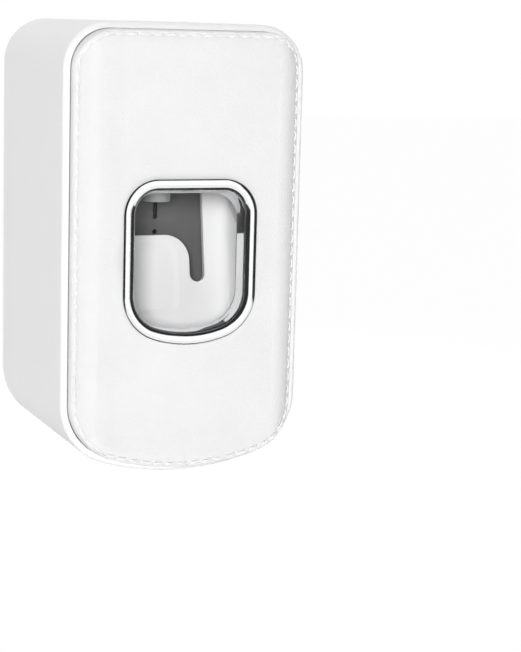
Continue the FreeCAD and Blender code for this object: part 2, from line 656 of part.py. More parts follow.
def outlet_valve():
    """Soft plug with a crossed slit in the tip of the nozzle."""
    plug = rod_z(FLOW_DEPTH, NOZZLE_BORE_RADIUS - SNUG, NOZZLE_BOTTOM, NOZZLE_BOTTOM + OUTLET_LENGTH)
    arm = NOZZLE_BORE_RADIUS / 2
    half = SLIT_WIDTH / 2
    slits = [block(-arm, arm, FLOW_DEPTH - half, FLOW_DEPTH + half, 0, BODY_HEIGHT),
             block(-half, half, FLOW_DEPTH - arm, FLOW_DEPTH + arm, 0, BODY_HEIGHT)]
    return cut(plug, slits)


def hinge_pins():
    """Two stub pins that the lever turns on."""
    inner = CHASSIS_HALF_WIDTH - PIN_LENGTH
    pin = rod_x(PIVOT_DEPTH, PIVOT_HEIGHT, PIN_RADIUS, inner, CHASSIS_HALF_WIDTH)
    return Part.makeCompound(both_sides(pin))


def lever_rest(shape):
    """Move a shape from the upright place at the pivot to the lever's place at rest."""
    shape.rotate(Vector(0, 0, 0), Vector(1, 0, 0), -LEVER_TILT)
    shape.translate(Vector(0, -PIVOT_DEPTH, PIVOT_HEIGHT))
    return shape


def tray(half, foot, foot_radius, near, far, head):
    """Return the solid of a scoop outline with round lower corners."""
    bend = foot_radius * (1 - math.sqrt(1 / 2))
    points = [Vector(half, 0, head), Vector(-half, 0, head), Vector(-half, 0, -foot + foot_radius),
              Vector(-half + foot_radius, 0, -foot), Vector(half - foot_radius, 0, -foot),
              Vector(half, 0, -foot + foot_radius)]
    left_mid = Vector(-half + bend, 0, -foot + bend)
    right_mid = Vector(half - bend, 0, -foot + bend)
    edges = [Part.makeLine(points[0], points[1]), Part.makeLine(points[1], points[2]),
             Part.Arc(points[2], left_mid, points[3]).toShape(), Part.makeLine(points[3], points[4]),
             Part.Arc(points[4], right_mid, points[5]).toShape(), Part.makeLine(points[5], points[0])]
    return prism(Part.Wire(edges), near, far)


def fold_edges(shape, depth, head):
    """Return the edges at a depth, without the one along the top."""
    return [edge for edge in edges_at_depth(shape, depth) if edge.BoundBox.ZMin < head - OVERRUN / 2]


def side_taper():
    """Return the cutter that lets the side walls run out towards the top."""
    near = LEVER_FRONT + SIDE_ROOT
    far = LEVER_FRONT + LEVER_SIDE
    high = Vector(0, -near, -SIDE_TAPER_TOP)
    low = Vector(0, -far - OVERRUN, -SIDE_TAPER_FOOT)
    mid = (high + low) / 2 + Vector(0, SIDE_TAPER_BOW, -SIDE_TAPER_BOW)
    top = HUB_RADIUS + OVERRUN
    roof_far = Vector(0, -far - OVERRUN, top)
    roof_near = Vector(0, -near, top)
    edges = [Part.Arc(high, mid, low).toShape(), Part.makeLine(low, roof_far),
             Part.makeLine(roof_far, roof_near), Part.makeLine(roof_near, high)]
    face = Part.Face(Part.Wire(edges))
    face.translate(Vector(-BODY_WIDTH / 2, 0, 0))
    return face.extrude(Vector(BODY_WIDTH, 0, 0))


def link(x_from, x_to, depth_a, z_a, radius_a, depth_b, z_b, radius_b):
    """Return a flat arm with two round ends of its own radii."""
    apart = Vector(0, depth_a - depth_b, z_b - z_a)
    run = apart.Length
    along = apart / run
    across = Vector(0, -along.z, along.y)
    slope = (radius_a - radius_b) / run
    rise = math.sqrt(1 - slope ** 2)
    start = Vector(0, -depth_a, z_a)
    finish = Vector(0, -depth_b, z_b)
    up = along * slope + across * rise
    down = along * slope - across * rise
    edges = [Part.makeLine(start + up * radius_a, finish + up * radius_b),
             Part.Arc(finish + up * radius_b, finish + along * radius_b, finish + down * radius_b).toShape(),
             Part.makeLine(finish + down * radius_b, start + down * radius_a),
             Part.Arc(start + down * radius_a, start - along * radius_a, start + up * radius_a).toShape()]
    face = Part.Face(Part.Wire(edges))
    face.translate(Vector(x_from, 0, 0))
    return face.extrude(Vector(x_to - x_from, 0, 0))


def panel_wire(inset):
    """Return the rim of the paddle's panel, moved inwards by the inset."""
    half = PADDLE_HALF_WIDTH - PANEL_MARGIN - inset
    top = -PADDLE_DROP - PANEL_DROP
    return rounded_rectangle(-half, half, top - PANEL_LENGTH + inset, top - inset, PANEL_RADIUS - inset)


def sunk_panel():
    """Return the cutter of the shallow panel whose sides slope softly down to its floor."""
    rim = panel_wire(0)
    floor = panel_wire(PANEL_SLOPE)
    rim.translate(Vector(0, -LEVER_FRONT, 0))
    floor.translate(Vector(0, PANEL_SINK - LEVER_FRONT, 0))
    return Part.makeLoft([floor, rim], True, True)


def lever():
    """Rocking lever: scoop, paddle, side slots, hubs and the bar that squeezes the bulb."""
    back = LEVER_FRONT - LEVER_WALL
    far = LEVER_FRONT + LEVER_SIDE
    outer = tray(LEVER_HALF_WIDTH, LEVER_LENGTH, LEVER_FOOT_RADIUS, back, far, 0)
    outer = outer.makeFillet(LEVER_FOLD_RADIUS, fold_edges(outer, back, 0))
    inner = tray(LEVER_HALF_WIDTH - LEVER_WALL, LEVER_LENGTH - LEVER_WALL, LEVER_FOOT_RADIUS - LEVER_WALL,
                 LEVER_FRONT, far + OVERRUN, OVERRUN)
    inner = inner.makeFillet(LEVER_FOLD_RADIUS - LEVER_WALL, fold_edges(inner, LEVER_FRONT, OVERRUN))
    slot_radius = (NOTCH_HALF_WIDTH - PADDLE_HALF_WIDTH) / 2
    slot_x = PADDLE_HALF_WIDTH + slot_radius
    slot_z = slot_radius - SLOT_FOOT
    low = back - OVERRUN
    high = far + OVERRUN
    notch = block(-NOTCH_HALF_WIDTH, NOTCH_HALF_WIDTH, low, high, slot_z, HUB_RADIUS + OVERRUN)
    ends = both_sides(rod_y(slot_x, slot_z, slot_radius, low, high))
    paddle_foot = -SLOT_FOOT - PADDLE_RADIUS - OVERRUN
    paddle_half = PADDLE_HALF_WIDTH
    paddle_wire = rounded_rectangle(-paddle_half, paddle_half, paddle_foot, -PADDLE_DROP, PADDLE_RADIUS)
    opening = fused([notch] + ends).cut(prism(paddle_wire, low, high))
    scoop = cut(outer, [inner, side_taper(), opening, sunk_panel()])
    post_far = LEVER_FRONT - LEVER_WALL / 2
    post = rod_y(0, -SPRING_HEIGHT, SPRING_POST_RADIUS, back - SPRING_POST_LENGTH, post_far)
    scoop = lever_rest(fused([scoop, post]))
    hub = rod_x(PIVOT_DEPTH, PIVOT_HEIGHT, HUB_RADIUS, NOTCH_HALF_WIDTH, LEVER_HALF_WIDTH)
    bar_z = PIVOT_HEIGHT + BAR_HEIGHT
    arm = link(NOTCH_HALF_WIDTH, NOTCH_HALF_WIDTH + ARM_THICKNESS, PIVOT_DEPTH, PIVOT_HEIGHT, HUB_RADIUS,
               BAR_DEPTH, bar_z, BAR_RADIUS)
    reach = NOTCH_HALF_WIDTH + ARM_THICKNESS
    bar = rod_x(BAR_DEPTH, bar_z, BAR_RADIUS, -reach, reach)
    solid = fused([scoop, bar] + both_sides(hub) + both_sides(arm))
    bore = rod_x(PIVOT_DEPTH, PIVOT_HEIGHT, PIN_RADIUS + PIN_PLAY, -BODY_WIDTH / 2, BODY_WIDTH / 2)
    return cut(solid, [bore])


def spring_end_depth():
    """Return the depth where the spring meets the paddle's back at rest."""
    tilt = math.radians(LEVER_TILT)
    back = LEVER_FRONT - LEVER_WALL
    face = PIVOT_DEPTH + back * math.cos(tilt) + SPRING_HEIGHT * math.sin(tilt)
    return face - SPRING_RADIUS * math.tan(tilt) - SPRING_PLAY


def spring_point(turns):
    """Return the point on the spring's middle line after a number of turns."""
    near = CHASSIS_FACE_DEPTH - SPRING_CUP_DEPTH + SPRING_WIRE_RADIUS
    pitch = (spring_end_depth() - SPRING_WIRE_RADIUS - near) / SPRING_TURNS
    angle = 2 * math.pi * turns
    x = SPRING_RADIUS * math.cos(angle)
    z = SPRING_RADIUS * math.sin(angle)
    return Vector(x, -near - pitch * turns, PIVOT_HEIGHT - SPRING_HEIGHT + z)


def spring_gap():
    """Return the least clear distance of the spring to itself, measured on points."""
    count = SPRING_POINTS_PER_TURN * SPRING_TURNS
    points = [spring_point(step / SPRING_POINTS_PER_TURN) for step in range(count + 1)]
    apart = SPRING_POINTS_PER_TURN // 2
    least = min(here.distanceToPoint(there) for place, here in enumerate(points)
                for there in points[place + apart:])
    return least - 2 * SPRING_WIRE_RADIUS


def return_spring():
    """Coil that pushes the paddle forwards, swept along quarter turns."""
    edges = []
    for step in range(4 * SPRING_TURNS):
        spots = [spring_point((step + part) / 4) for part in (0, 1 / 2, 1)]
        edges.append(Part.Arc(*spots).toShape())
    path = Part.Wire(edges)
    start = path.Edges[0]
    rim = Part.Circle(spring_point(0), start.tangentAt(start.FirstParameter), SPRING_WIRE_RADIUS)
    corners = [rim.value(2 * math.pi * side / SPRING_WIRE_SIDES) for side in range(SPRING_WIRE_SIDES)]
    return path.makePipeShell([Part.makePolygon(corners + corners[:1])], True, False)


def roll_bar(sink):
    """Return the long bar whose front is the rolled face of the cover, sunk by an amount."""
    radius = COVER_ROLL_RADIUS
    drop = radius - (COVER_PROUD - COVER_EDGE_PROUD)
    half = BODY_WIDTH / 2 - COVER_INSET
    flat = half - math.sqrt(radius ** 2 - drop ** 2)
    bend = radius - sink
    front = -COVER_FRONT_DEPTH + sink
    middle = -COVER_FRONT_DEPTH + radius
    turn = bend * math.sqrt(1 / 2)
    edges = []
    right = (Vector(flat, front, 0), Vector(flat + turn, middle - turn, 0), Vector(flat + bend, middle, 0))
    left = tuple(Vector(-spot.x, spot.y, 0) for spot in right)
    right_rear = Vector(flat + bend, 0, 0)
    left_rear = Vector(-flat - bend, 0, 0)
    edges.append(Part.makeLine(left[0], right[0]))
    edges.append(Part.Arc(*right).toShape())
    edges.append(Part.makeLine(right[2], right_rear))
    edges.append(Part.makeLine(right_rear, left_rear))
    edges.append(Part.makeLine(left_rear, left[2]))
    edges.append(Part.Arc(left[2], left[1], left[0]).toShape())
    face = Part.Face(Part.Wire(edges))
    face.translate(Vector(0, 0, -BODY_HEIGHT / 2))
    return face.extrude(Vector(0, 0, BODY_HEIGHT))


def crown(inset, sink, near):
    """Return a solid with the cover's outline and its rolled front."""
    return BODY.prism(inset, near, COVER_FRONT_DEPTH + OVERRUN).common(roll_bar(sink))


def window_hole(near):
    """Return the cutter for the window through the layers of the cover."""
    return WINDOW.prism(THROAT_OUTER_INSET - BEZEL_PLAY, near, COVER_FRONT_DEPTH + OVERRUN)


def brow_edges(shape, near):
    """Return the edges round the front of a cover layer, without seams that run straight out or down it."""
    found = []
    for edge in shape.Edges:
        box = edge.BoundBox
        at_back = box.YMax + near > -SNUG and box.YLength < SNUG
        runs_out = max(box.XLength, box.ZLength) < SNUG
        down_the_front = box.XLength + box.YLength < SNUG and box.YMin < -COVER_FRONT_DEPTH + SNUG
        if not (at_back or runs_out or down_the_front):
            found.append(edge)
    return found


def leather_skin():
    """Skin over the cover, turned in at the rim."""
    near = RIM_DEPTH - COVER_TUCK
    outer = crown(COVER_INSET, 0, near)
    outer = outer.makeFillet(COVER_EDGE_ROUND, brow_edges(outer, near))
    inner = crown(CARRIER_INSET, SKIN_THICKNESS, near - OVERRUN)
    return cut(outer, [inner, window_hole(near - OVERRUN)])


def foam_pad():
    """Padding under the skin."""
    near = RIM_DEPTH - COVER_TUCK
    outer = crown(CARRIER_INSET, SKIN_THICKNESS, near)
    inner = crown(CARRIER_INSET - OVERRUN, FOAM_SINK, near - OVERRUN)
    return cut(outer, [inner, window_hole(near - OVERRUN)])


def cover_carrier():
    """Stiff pan of the cover with bosses for its magnets."""
    near = RIM_DEPTH - SKIRT_DEPTH
    outer = crown(CARRIER_INSET, FOAM_SINK, near)
    inner = crown(CARRIER_INSET + CARRIER_WALL, CARRIER_SINK, near - OVERRUN)
    pan = outer.cut(inner)
    face = MAGNET_FACE_DEPTH + MAGNET_GAP
    stands = [rod_y(x, z, MAGNET_BOSS_RADIUS, face, COVER_FRONT_DEPTH) for x, z in magnet_places()]
    within = crown(CARRIER_INSET, FOAM_SINK, face - OVERRUN)
    stands = [stand.common(within) for stand in stands]
    pockets = [rod_y(x, z, MAGNET_RADIUS + MAGNET_PLAY, face - OVERRUN, face + MAGNET_THICKNESS)
               for x, z in magnet_places()]
    return cut(fused([pan] + stands), pockets + [window_hole(near - OVERRUN)])


def cover_magnets():
    """Four magnets in the bosses of the cover."""
    face = MAGNET_FACE_DEPTH + MAGNET_GAP
    discs = [rod_y(x, z, MAGNET_RADIUS, face, face + MAGNET_THICKNESS) for x, z in magnet_places()]
    return Part.makeCompound(discs)


def window_bezel():
    """Bright ring round the window with a throat through the cover."""
    front = COVER_FRONT_DEPTH + BEZEL_PROUD
    face = WINDOW.prism(0, COVER_FRONT_DEPTH, front)
    face = face.makeFillet(BEZEL_OUTER_ROUND, edges_at_depth(face, front))
    throat = WINDOW.prism(THROAT_OUTER_INSET, THROAT_END_DEPTH, COVER_FRONT_DEPTH + BEZEL_PROUD / 2)
    ring = cut(fused([face, throat]), [WINDOW.prism(BEZEL_FACE, THROAT_END_DEPTH - OVERRUN, front + OVERRUN)])
    mouth = WINDOW.wire(BEZEL_FACE).BoundBox
    inside = [edge for edge in edges_at_depth(ring, front)
              if edge.BoundBox.XMax <= mouth.XMax + SNUG and edge.BoundBox.XMin >= mouth.XMin - SNUG
              and edge.BoundBox.ZMax <= mouth.ZMax + SNUG and edge.BoundBox.ZMin >= mouth.ZMin - SNUG]
    return ring.makeFillet(BEZEL_INNER_ROUND, inside)


def bezel_retainer():
    """Light grey frame that clamps the bezel from behind and shows as a brow at the top."""
    front = COVER_FRONT_DEPTH - CARRIER_SINK
    near = THROAT_END_DEPTH - RETAINER_LIP_THICKNESS
    plate = WINDOW.prism(-RETAINER_RIM, near, front)
    seat = WINDOW.prism(THROAT_OUTER_INSET - SNUG, THROAT_END_DEPTH, front + OVERRUN)
    view = Outline(WINDOW_WIDTH, WINDOW.top - RETAINER_BROW, WINDOW.bottom, WINDOW_TOP_RADIUS + RETAINER_BROW,
                   WINDOW_BOTTOM_RADIUS, WINDOW_SAG_RADIUS)
    opening = view.prism(BEZEL_FACE - RETAINER_SETBACK, near - OVERRUN, front + OVERRUN)
    return cut(plate, [seat, opening])


PIECES = [
    adhesive_pad, wall_plate,
    housing_shell, rear_cover, rear_cover_screws, brush_rack, housing_magnets, inlet_collar, tube_sleeve,
    chassis, chassis_screws, inlet_valve, pump_bulb, nozzle, outlet_valve, hinge_pins, return_spring,
    lever,
    cover_carrier, foam_pad, leather_skin, window_bezel, bezel_retainer, cover_magnets,
]


def main():
    """Build every piece and write it to its own file."""
    os.makedirs("parts", exist_ok=True)
    for piece in PIECES:
        piece().exportStep("parts/" + piece.__name__ + ".step")
    print("Least gap of the return spring to itself, mm:", spring_gap())


main()
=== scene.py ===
"""Looks of a wall-hung toothpaste dispenser: padded stitched front, bright-ringed window, squeeze lever.

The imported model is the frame. Sizes in the classes are millimetres, and MeshDraft turns them into the
metres of the frame. X runs to the right, depth runs out from the wall against Y, and Z is up. Finishes,
camera and lamps are in metres.
"""

import logging
import math
from bisect import bisect_right
from dataclasses import dataclass
from enum import Enum
from typing import Callable, Optional, Sequence, Union

import bmesh
import bpy
from mathutils import Matrix, Vector, noise


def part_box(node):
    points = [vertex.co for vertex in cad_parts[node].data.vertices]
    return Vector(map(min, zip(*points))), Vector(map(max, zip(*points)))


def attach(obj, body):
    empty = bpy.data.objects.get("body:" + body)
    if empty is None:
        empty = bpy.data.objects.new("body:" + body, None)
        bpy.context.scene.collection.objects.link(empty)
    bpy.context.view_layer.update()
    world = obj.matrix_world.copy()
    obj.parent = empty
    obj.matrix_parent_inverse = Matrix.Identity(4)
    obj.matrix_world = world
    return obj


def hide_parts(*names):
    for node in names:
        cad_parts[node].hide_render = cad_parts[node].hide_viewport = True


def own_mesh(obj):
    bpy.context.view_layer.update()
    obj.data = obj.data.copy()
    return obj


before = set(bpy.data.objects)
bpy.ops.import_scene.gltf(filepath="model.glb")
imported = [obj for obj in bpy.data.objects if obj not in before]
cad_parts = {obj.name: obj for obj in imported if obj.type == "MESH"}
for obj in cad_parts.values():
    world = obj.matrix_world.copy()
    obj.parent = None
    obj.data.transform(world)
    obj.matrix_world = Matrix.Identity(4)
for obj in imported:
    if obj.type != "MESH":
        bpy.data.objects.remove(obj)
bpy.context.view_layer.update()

LOG = logging.getLogger("dispenser")
MM = 0.001
IMAGE_HEIGHT_PX = 652.0
SENSOR_MM = 36.0

Colour = tuple[float, float, float]
Place = tuple[float, float]
Socket = bpy.types.NodeSocket
Value = Union[float, Socket]


class Body(Enum):
    """The bodies that new pieces ride on."""

    WALL = "wall_mount"
    CASE = "housing"
    COVER = "front_cover"


class Slot(Enum):
    """The material slots of the record."""

    WHITE_GLOSS = "white_gloss"
    WHITE_MATTE = "white_matte"
    SKIN = "skin"
    CHROME = "bright_chrome"
    CHARCOAL = "charcoal"
    LIGHT_GREY = "light_grey"
    SILICONE = "silicone"
    STEEL = "steel"
    ADHESIVE = "adhesive"


class Role(Enum):
    """What a lamp is for: it lights the pieces, or it shows in bright surfaces."""

    LIGHT = "light"
    MIRROR = "mirror"


# Shader effects that several finishes share


class NodeSheet:
    """Places and joins the nodes of one material, group or world.

    A Mix node holds one set of sockets for each kind of data, so they are found by their places.
    """

    MIX_NUMBERS = (2, 3)
    MIX_COLOURS = (6, 7)
    MIX_COLOUR_OUT = 2

    def __init__(self, tree: bpy.types.NodeTree) -> None:
        """Keep the tree that the nodes go into."""
        self.tree = tree

    def place(self, kind: str, **settings: object) -> bpy.types.Node:
        """Place one node.

        Args:
            kind: The id of the node type.
            settings: Attributes to set on the node.

        Returns:
            The new node.
        """
        node = self.tree.nodes.new(kind)
        for name, value in settings.items():
            setattr(node, name, value)
        return node

    def give(self, target: Socket, value: object) -> None:
        """Feed a socket from another socket, or set it to a plain value.

        Args:
            target: The socket to feed.
            value: The socket that feeds it, or a number, vector or colour.
        """
        if isinstance(value, bpy.types.NodeSocket):
            self.tree.links.new(value, target)
        else:
            target.default_value = value

    def math(self, operation: str, first: Value, second: Value = 0.0) -> Socket:
        """Work out one number.

        Args:
            operation: The name of the sum.
            first: The first number.
            second: The second number.

        Returns:
            The socket that carries the result.
        """
        node = self.place("ShaderNodeMath", operation=operation)
        self.give(node.inputs[0], first)
        self.give(node.inputs[1], second)
        return node.outputs[0]

    def spread(
        self, value: Value, low: float, high: float, to_low: Value = 0.0, to_high: Value = 1.0
    ) -> Socket:
        """Map a number from one range to another, held at its ends.

        Args:
            value: The number to map.
            low: Start of the range that it comes from.
            high: End of the range that it comes from.
            to_low: Result at the start.
            to_high: Result at the end.

        Returns:
            The socket that carries the result.
        """
        node = self.place("ShaderNodeMapRange", clamp=True)
        for label, number in (("Value", value), ("From Min", low), ("From Max", high),
                              ("To Min", to_low), ("To Max", to_high)):
            self.give(node.inputs[label], number)
        return node.outputs["Result"]

    def tint(self, share: Value, first: object, second: object) -> Socket:
        """Mix two colours.

        Args:
            share: How much of the second colour shows.
            first: A colour or the socket of one.
            second: A colour or the socket of one.

        Returns:
            The socket that carries the mixed colour.
        """
        node = self.place("ShaderNodeMix", data_type="RGBA")
        self.give(node.inputs[0], share)
        for place, colour in zip(self.MIX_COLOURS, (first, second)):
            self.give(node.inputs[place], (*colour, 1.0) if isinstance(colour, tuple) else colour)
        return node.outputs[self.MIX_COLOUR_OUT]

    def blend(self, share: Value, first: Value, second: Value) -> Socket:
        """Mix two numbers.

        Args:
            share: How much of the second number counts.
            first: The first number.
            second: The second number.

        Returns:
            The socket that carries the mixed number.
        """
        node = self.place("ShaderNodeMix", data_type="FLOAT")
        self.give(node.inputs[0], share)
        for place, value in zip(self.MIX_NUMBERS, (first, second)):
            self.give(node.inputs[place], value)
        return node.outputs[0]

    def cloud(self, scale: Value, detail: float, where: Optional[Socket] = None) -> Socket:
        """Lay soft noise over the surface.

        Args:
            scale: Waves per metre.
            detail: How many finer layers are added.
            where: The place that it is read at, or None for the piece's own place.

        Returns:
            The socket that carries the noise, from 0 to 1.
        """
        node = self.place("ShaderNodeTexNoise")
        self.give(node.inputs["Vector"], where or self.place("ShaderNodeTexCoord").outputs["Object"])
        self.give(node.inputs["Scale"], scale)
        self.give(node.inputs["Detail"], detail)
        return node.outputs["Fac"]

    def group(self, tree: bpy.types.NodeTree, **inputs: float) -> bpy.types.Node:
        """Place a shared group with its own values.

        Args:
            tree: The group.
            inputs: Values for its named inputs.

        Returns:
            The group's node.
        """
        node = self.place("ShaderNodeGroup", node_tree=tree)
        for label, value in inputs.items():
            node.inputs[label].default_value = value
        return node


OpenGroup = tuple[NodeSheet, bpy.types.Node, bpy.types.Node]


class Effects:
    """The shader groups that several finishes share, each built once."""

    CLOUD_RANGE = (0.3, 0.7)
    CLOUD_DETAIL = 4.0
    FLECK_RATIO = 11.0
    FLECK_DETAIL = 2.0
    PIT_SHARE = 0.55
    WAVE_RATIO = 0.35
    WAVE_DETAIL = 3.0
    EASE_SAMPLES = 6
    BEND_RANGE = (0.98, 0.75)
    BROKEN_RANGE = (0.35, 0.65)
    BROKEN_DETAIL = 3.0
    UPWARD_RANGE = (0.35, 0.95)
    PATCH_RANGE = (0.35, 0.75)
    PATCH_DETAIL = 5.0

    def __init__(self) -> None:
        """Build the four groups."""
        self.mottle = self._mottle()
        self.grain = self._grain()
        self.edge = self._edge()
        self.dust = self._dust()

    @staticmethod
    def _open(name: str, inputs: dict[str, float], outputs: dict[str, str]) -> OpenGroup:
        """Start a group.

        Args:
            name: The group's name.
            inputs: Its inputs, with their usual values.
            outputs: Its outputs, with their kinds of socket.

        Returns:
            The sheet of the group, and its input and output nodes.
        """
        tree = bpy.data.node_groups.new(name, "ShaderNodeTree")
        for label, usual in inputs.items():
            socket = tree.interface.new_socket(name=label, in_out="INPUT", socket_type="NodeSocketFloat")
            socket.default_value = usual
        for label, kind in outputs.items():
            tree.interface.new_socket(name=label, in_out="OUTPUT", socket_type=kind)
        sheet = NodeSheet(tree)
        return sheet, sheet.place("NodeGroupInput"), sheet.place("NodeGroupOutput")

    def _mottle(self) -> bpy.types.NodeTree:
        """Build the group of wide clouds and small flecks.

        Returns:
            The group.
        """
        sheet, source, result = self._open(
            "surface_mottle", {"Scale": 60.0}, {"Cloud": "NodeSocketFloat", "Fleck": "NodeSocketFloat"})
        scale = source.outputs["Scale"]
        wide = sheet.cloud(scale, self.CLOUD_DETAIL)
        sheet.give(result.inputs["Cloud"], sheet.spread(wide, *self.CLOUD_RANGE))
        small = sheet.cloud(sheet.math("MULTIPLY", scale, self.FLECK_RATIO), self.FLECK_DETAIL)
        sheet.give(result.inputs["Fleck"], sheet.spread(small, *self.CLOUD_RANGE))
        return sheet.tree

    def _grain(self) -> bpy.types.NodeTree:
        """Build the group of the fine relief that a mould leaves.

        Returns:
            The group.
        """
        sheet, source, result = self._open("moulded_grain", {"Scale": 1500.0}, {"Height": "NodeSocketFloat"})
        scale = source.outputs["Scale"]
        pits = sheet.place("ShaderNodeTexVoronoi", feature="SMOOTH_F1")
        sheet.give(pits.inputs["Vector"], sheet.place("ShaderNodeTexCoord").outputs["Object"])
        sheet.give(pits.inputs["Scale"], scale)
        waves = sheet.cloud(sheet.math("MULTIPLY", scale, self.WAVE_RATIO), self.WAVE_DETAIL)
        pitted = sheet.math("MULTIPLY", pits.outputs["Distance"], self.PIT_SHARE)
        sheet.give(result.inputs["Height"], sheet.math("ADD", pitted, waves))
        return sheet.tree

    def _edge(self) -> bpy.types.NodeTree:
        """Build the group that eases sharp edges and finds where they are rubbed.

        Returns:
            The group.
        """
        sheet, source, result = self._open(
            "eased_edge", {"Radius": 0.0003, "Scale": 300.0},
            {"Normal": "NodeSocketVector", "Rub": "NodeSocketFloat"})
        ease = sheet.place("ShaderNodeBevel", samples=self.EASE_SAMPLES)
        sheet.give(ease.inputs["Radius"], source.outputs["Radius"])
        turn = sheet.place("ShaderNodeVectorMath", operation="DOT_PRODUCT")
        sheet.give(turn.inputs[0], ease.outputs["Normal"])
        sheet.give(turn.inputs[1], sheet.place("ShaderNodeNewGeometry").outputs["Normal"])
        bend = sheet.spread(turn.outputs["Value"], *self.BEND_RANGE)
        broken = sheet.spread(sheet.cloud(source.outputs["Scale"], self.BROKEN_DETAIL), *self.BROKEN_RANGE)
        sheet.give(result.inputs["Normal"], ease.outputs["Normal"])
        sheet.give(result.inputs["Rub"], sheet.math("MULTIPLY", bend, broken))
        return sheet.tree

    def _dust(self) -> bpy.types.NodeTree:
        """Build the group of the film that settles on faces that look up.

        Returns:
            The group.
        """
        sheet, source, result = self._open("settled_film", {"Scale": 120.0}, {"Film": "NodeSocketFloat"})
        parts = sheet.place("ShaderNodeSeparateXYZ")
        sheet.give(parts.inputs[0], sheet.place("ShaderNodeNewGeometry").outputs["Normal"])
        upward = sheet.spread(parts.outputs["Z"], *self.UPWARD_RANGE)
        patches = sheet.spread(sheet.cloud(source.outputs["Scale"], self.PATCH_DETAIL), *self.PATCH_RANGE)
        sheet.give(result.inputs["Film"], sheet.math("MULTIPLY", upward, patches))
        return sheet.tree


# Finishes


WORN_LEVEL = 0.82
WORN_SHARE = 0.45
FILM_COLOUR: Colour = (0.74, 0.73, 0.71)
FILM_ROUGHNESS = 0.5
SCATTER_RADIUS = (0.002, 0.0018, 0.0016)


@dataclass(frozen=True)
class Finish:
    """A moulded finish, and the base of the others: colour, gloss, stray, relief, eased edges and film."""

    name: str
    slot: Slot
    colour: Colour
    roughness: float
    stray: float = 0.012
    gloss_stray: float = 0.05
    mottle_scale: float = 55.0
    relief_scale: float = 1500.0
    relief_height: float = 0.000004
    edge_radius: float = 0.0003
    rub: float = 0.10
    film: float = 0.10
    metallic: float = 0.0
    sheen: float = 0.0
    scatter: float = 0.0

    def relief(self, sheet: NodeSheet, effects: Effects) -> Socket:
        """Return the height of the finish's fine relief."""
        return sheet.group(effects.grain, Scale=self.relief_scale).outputs["Height"]

    def material(self, effects: Effects) -> bpy.types.Material:
        """Give the finish as a material, made at its first use.

        Args:
            effects: The shared shader groups.

        Returns:
            The material.
        """
        made = bpy.data.materials.get(self.name)
        if made is not None:
            return made
        made = bpy.data.materials.new(self.name)
        made.use_nodes = True
        made.node_tree.nodes.clear()
        sheet = NodeSheet(made.node_tree)
        shader = sheet.place("ShaderNodeBsdfPrincipled")
        sheet.give(sheet.place("ShaderNodeOutputMaterial").inputs["Surface"], shader.outputs[0])
        mottle = sheet.group(effects.mottle, Scale=self.mottle_scale)
        edge = sheet.group(effects.edge, Radius=self.edge_radius)
        film = sheet.math("MULTIPLY", sheet.group(effects.dust).outputs["Film"], self.film)
        rub = sheet.math("MULTIPLY", edge.outputs["Rub"], self.rub)
        deep = tuple(part * (1.0 - self.stray) for part in self.colour)
        pale = tuple(min(1.0, part * (1.0 + self.stray)) for part in self.colour)
        worn = tuple(part + (WORN_LEVEL - part) * WORN_SHARE for part in self.colour)
        colour = sheet.tint(mottle.outputs["Cloud"], deep, pale)
        colour = sheet.tint(rub, colour, worn)
        colour = sheet.tint(film, colour, FILM_COLOUR)
        sheet.give(shader.inputs["Base Color"], colour)
        smoothest, roughest = self.roughness - self.gloss_stray, self.roughness + self.gloss_stray
        gloss = sheet.spread(mottle.outputs["Fleck"], 0.0, 1.0, smoothest, roughest)
        gloss = sheet.math("ADD", gloss, sheet.math("MULTIPLY", film, FILM_ROUGHNESS))
        sheet.give(shader.inputs["Roughness"], gloss)
        bump = sheet.place("ShaderNodeBump")
        bump.inputs["Distance"].default_value = self.relief_height
        sheet.give(bump.inputs["Height"], self.relief(sheet, effects))
        sheet.give(bump.inputs["Normal"], edge.outputs["Normal"])
        sheet.give(shader.inputs["Normal"], bump.outputs["Normal"])
        shader.inputs["Metallic"].default_value = self.metallic
        shader.inputs["Sheen Weight"].default_value = self.sheen
        shader.inputs["Subsurface Weight"].default_value = self.scatter
        shader.inputs["Subsurface Radius"].default_value = SCATTER_RADIUS
        return made


@dataclass(frozen=True)
class LeatherFinish(Finish):
    """Coated leather: rounded pebbles parted by fine creases."""

    crease: float = 0.32
    rounding: float = 0.6
    warp_ratio: float = 0.8
    warp_reach: float = 0.5
    pore_ratio: float = 3.0
    pore_detail: float = 2.0
    pore_share: float = 0.25

    def relief(self, sheet: NodeSheet, effects: Effects) -> Socket:
        """Return the height of the pebbles.

        Args:
            sheet: The material's sheet.
            effects: The shared shader groups; not used.

        Returns:
            The socket that carries the height.
        """
        place = sheet.place("ShaderNodeTexCoord").outputs["Object"]
        warp = sheet.place("ShaderNodeTexNoise")
        sheet.give(warp.inputs["Vector"], place)
        warp.inputs["Scale"].default_value = self.relief_scale * self.warp_ratio
        shift = sheet.place("ShaderNodeVectorMath", operation="SCALE")
        sheet.give(shift.inputs[0], warp.outputs["Color"])
        shift.inputs["Scale"].default_value = self.warp_reach / self.relief_scale
        moved = sheet.place("ShaderNodeVectorMath", operation="ADD")
        sheet.give(moved.inputs[0], place)
        sheet.give(moved.inputs[1], shift.outputs[0])
        pebbles = sheet.place("ShaderNodeTexVoronoi", feature="DISTANCE_TO_EDGE")
        sheet.give(pebbles.inputs["Vector"], moved.outputs[0])
        pebbles.inputs["Scale"].default_value = self.relief_scale
        flank = sheet.spread(pebbles.outputs["Distance"], 0.0, self.crease)
        body = sheet.math("POWER", flank, self.rounding)
        pores = sheet.cloud(self.relief_scale * self.pore_ratio, self.pore_detail)
        return sheet.math("ADD", body, sheet.math("MULTIPLY", pores, self.pore_share))


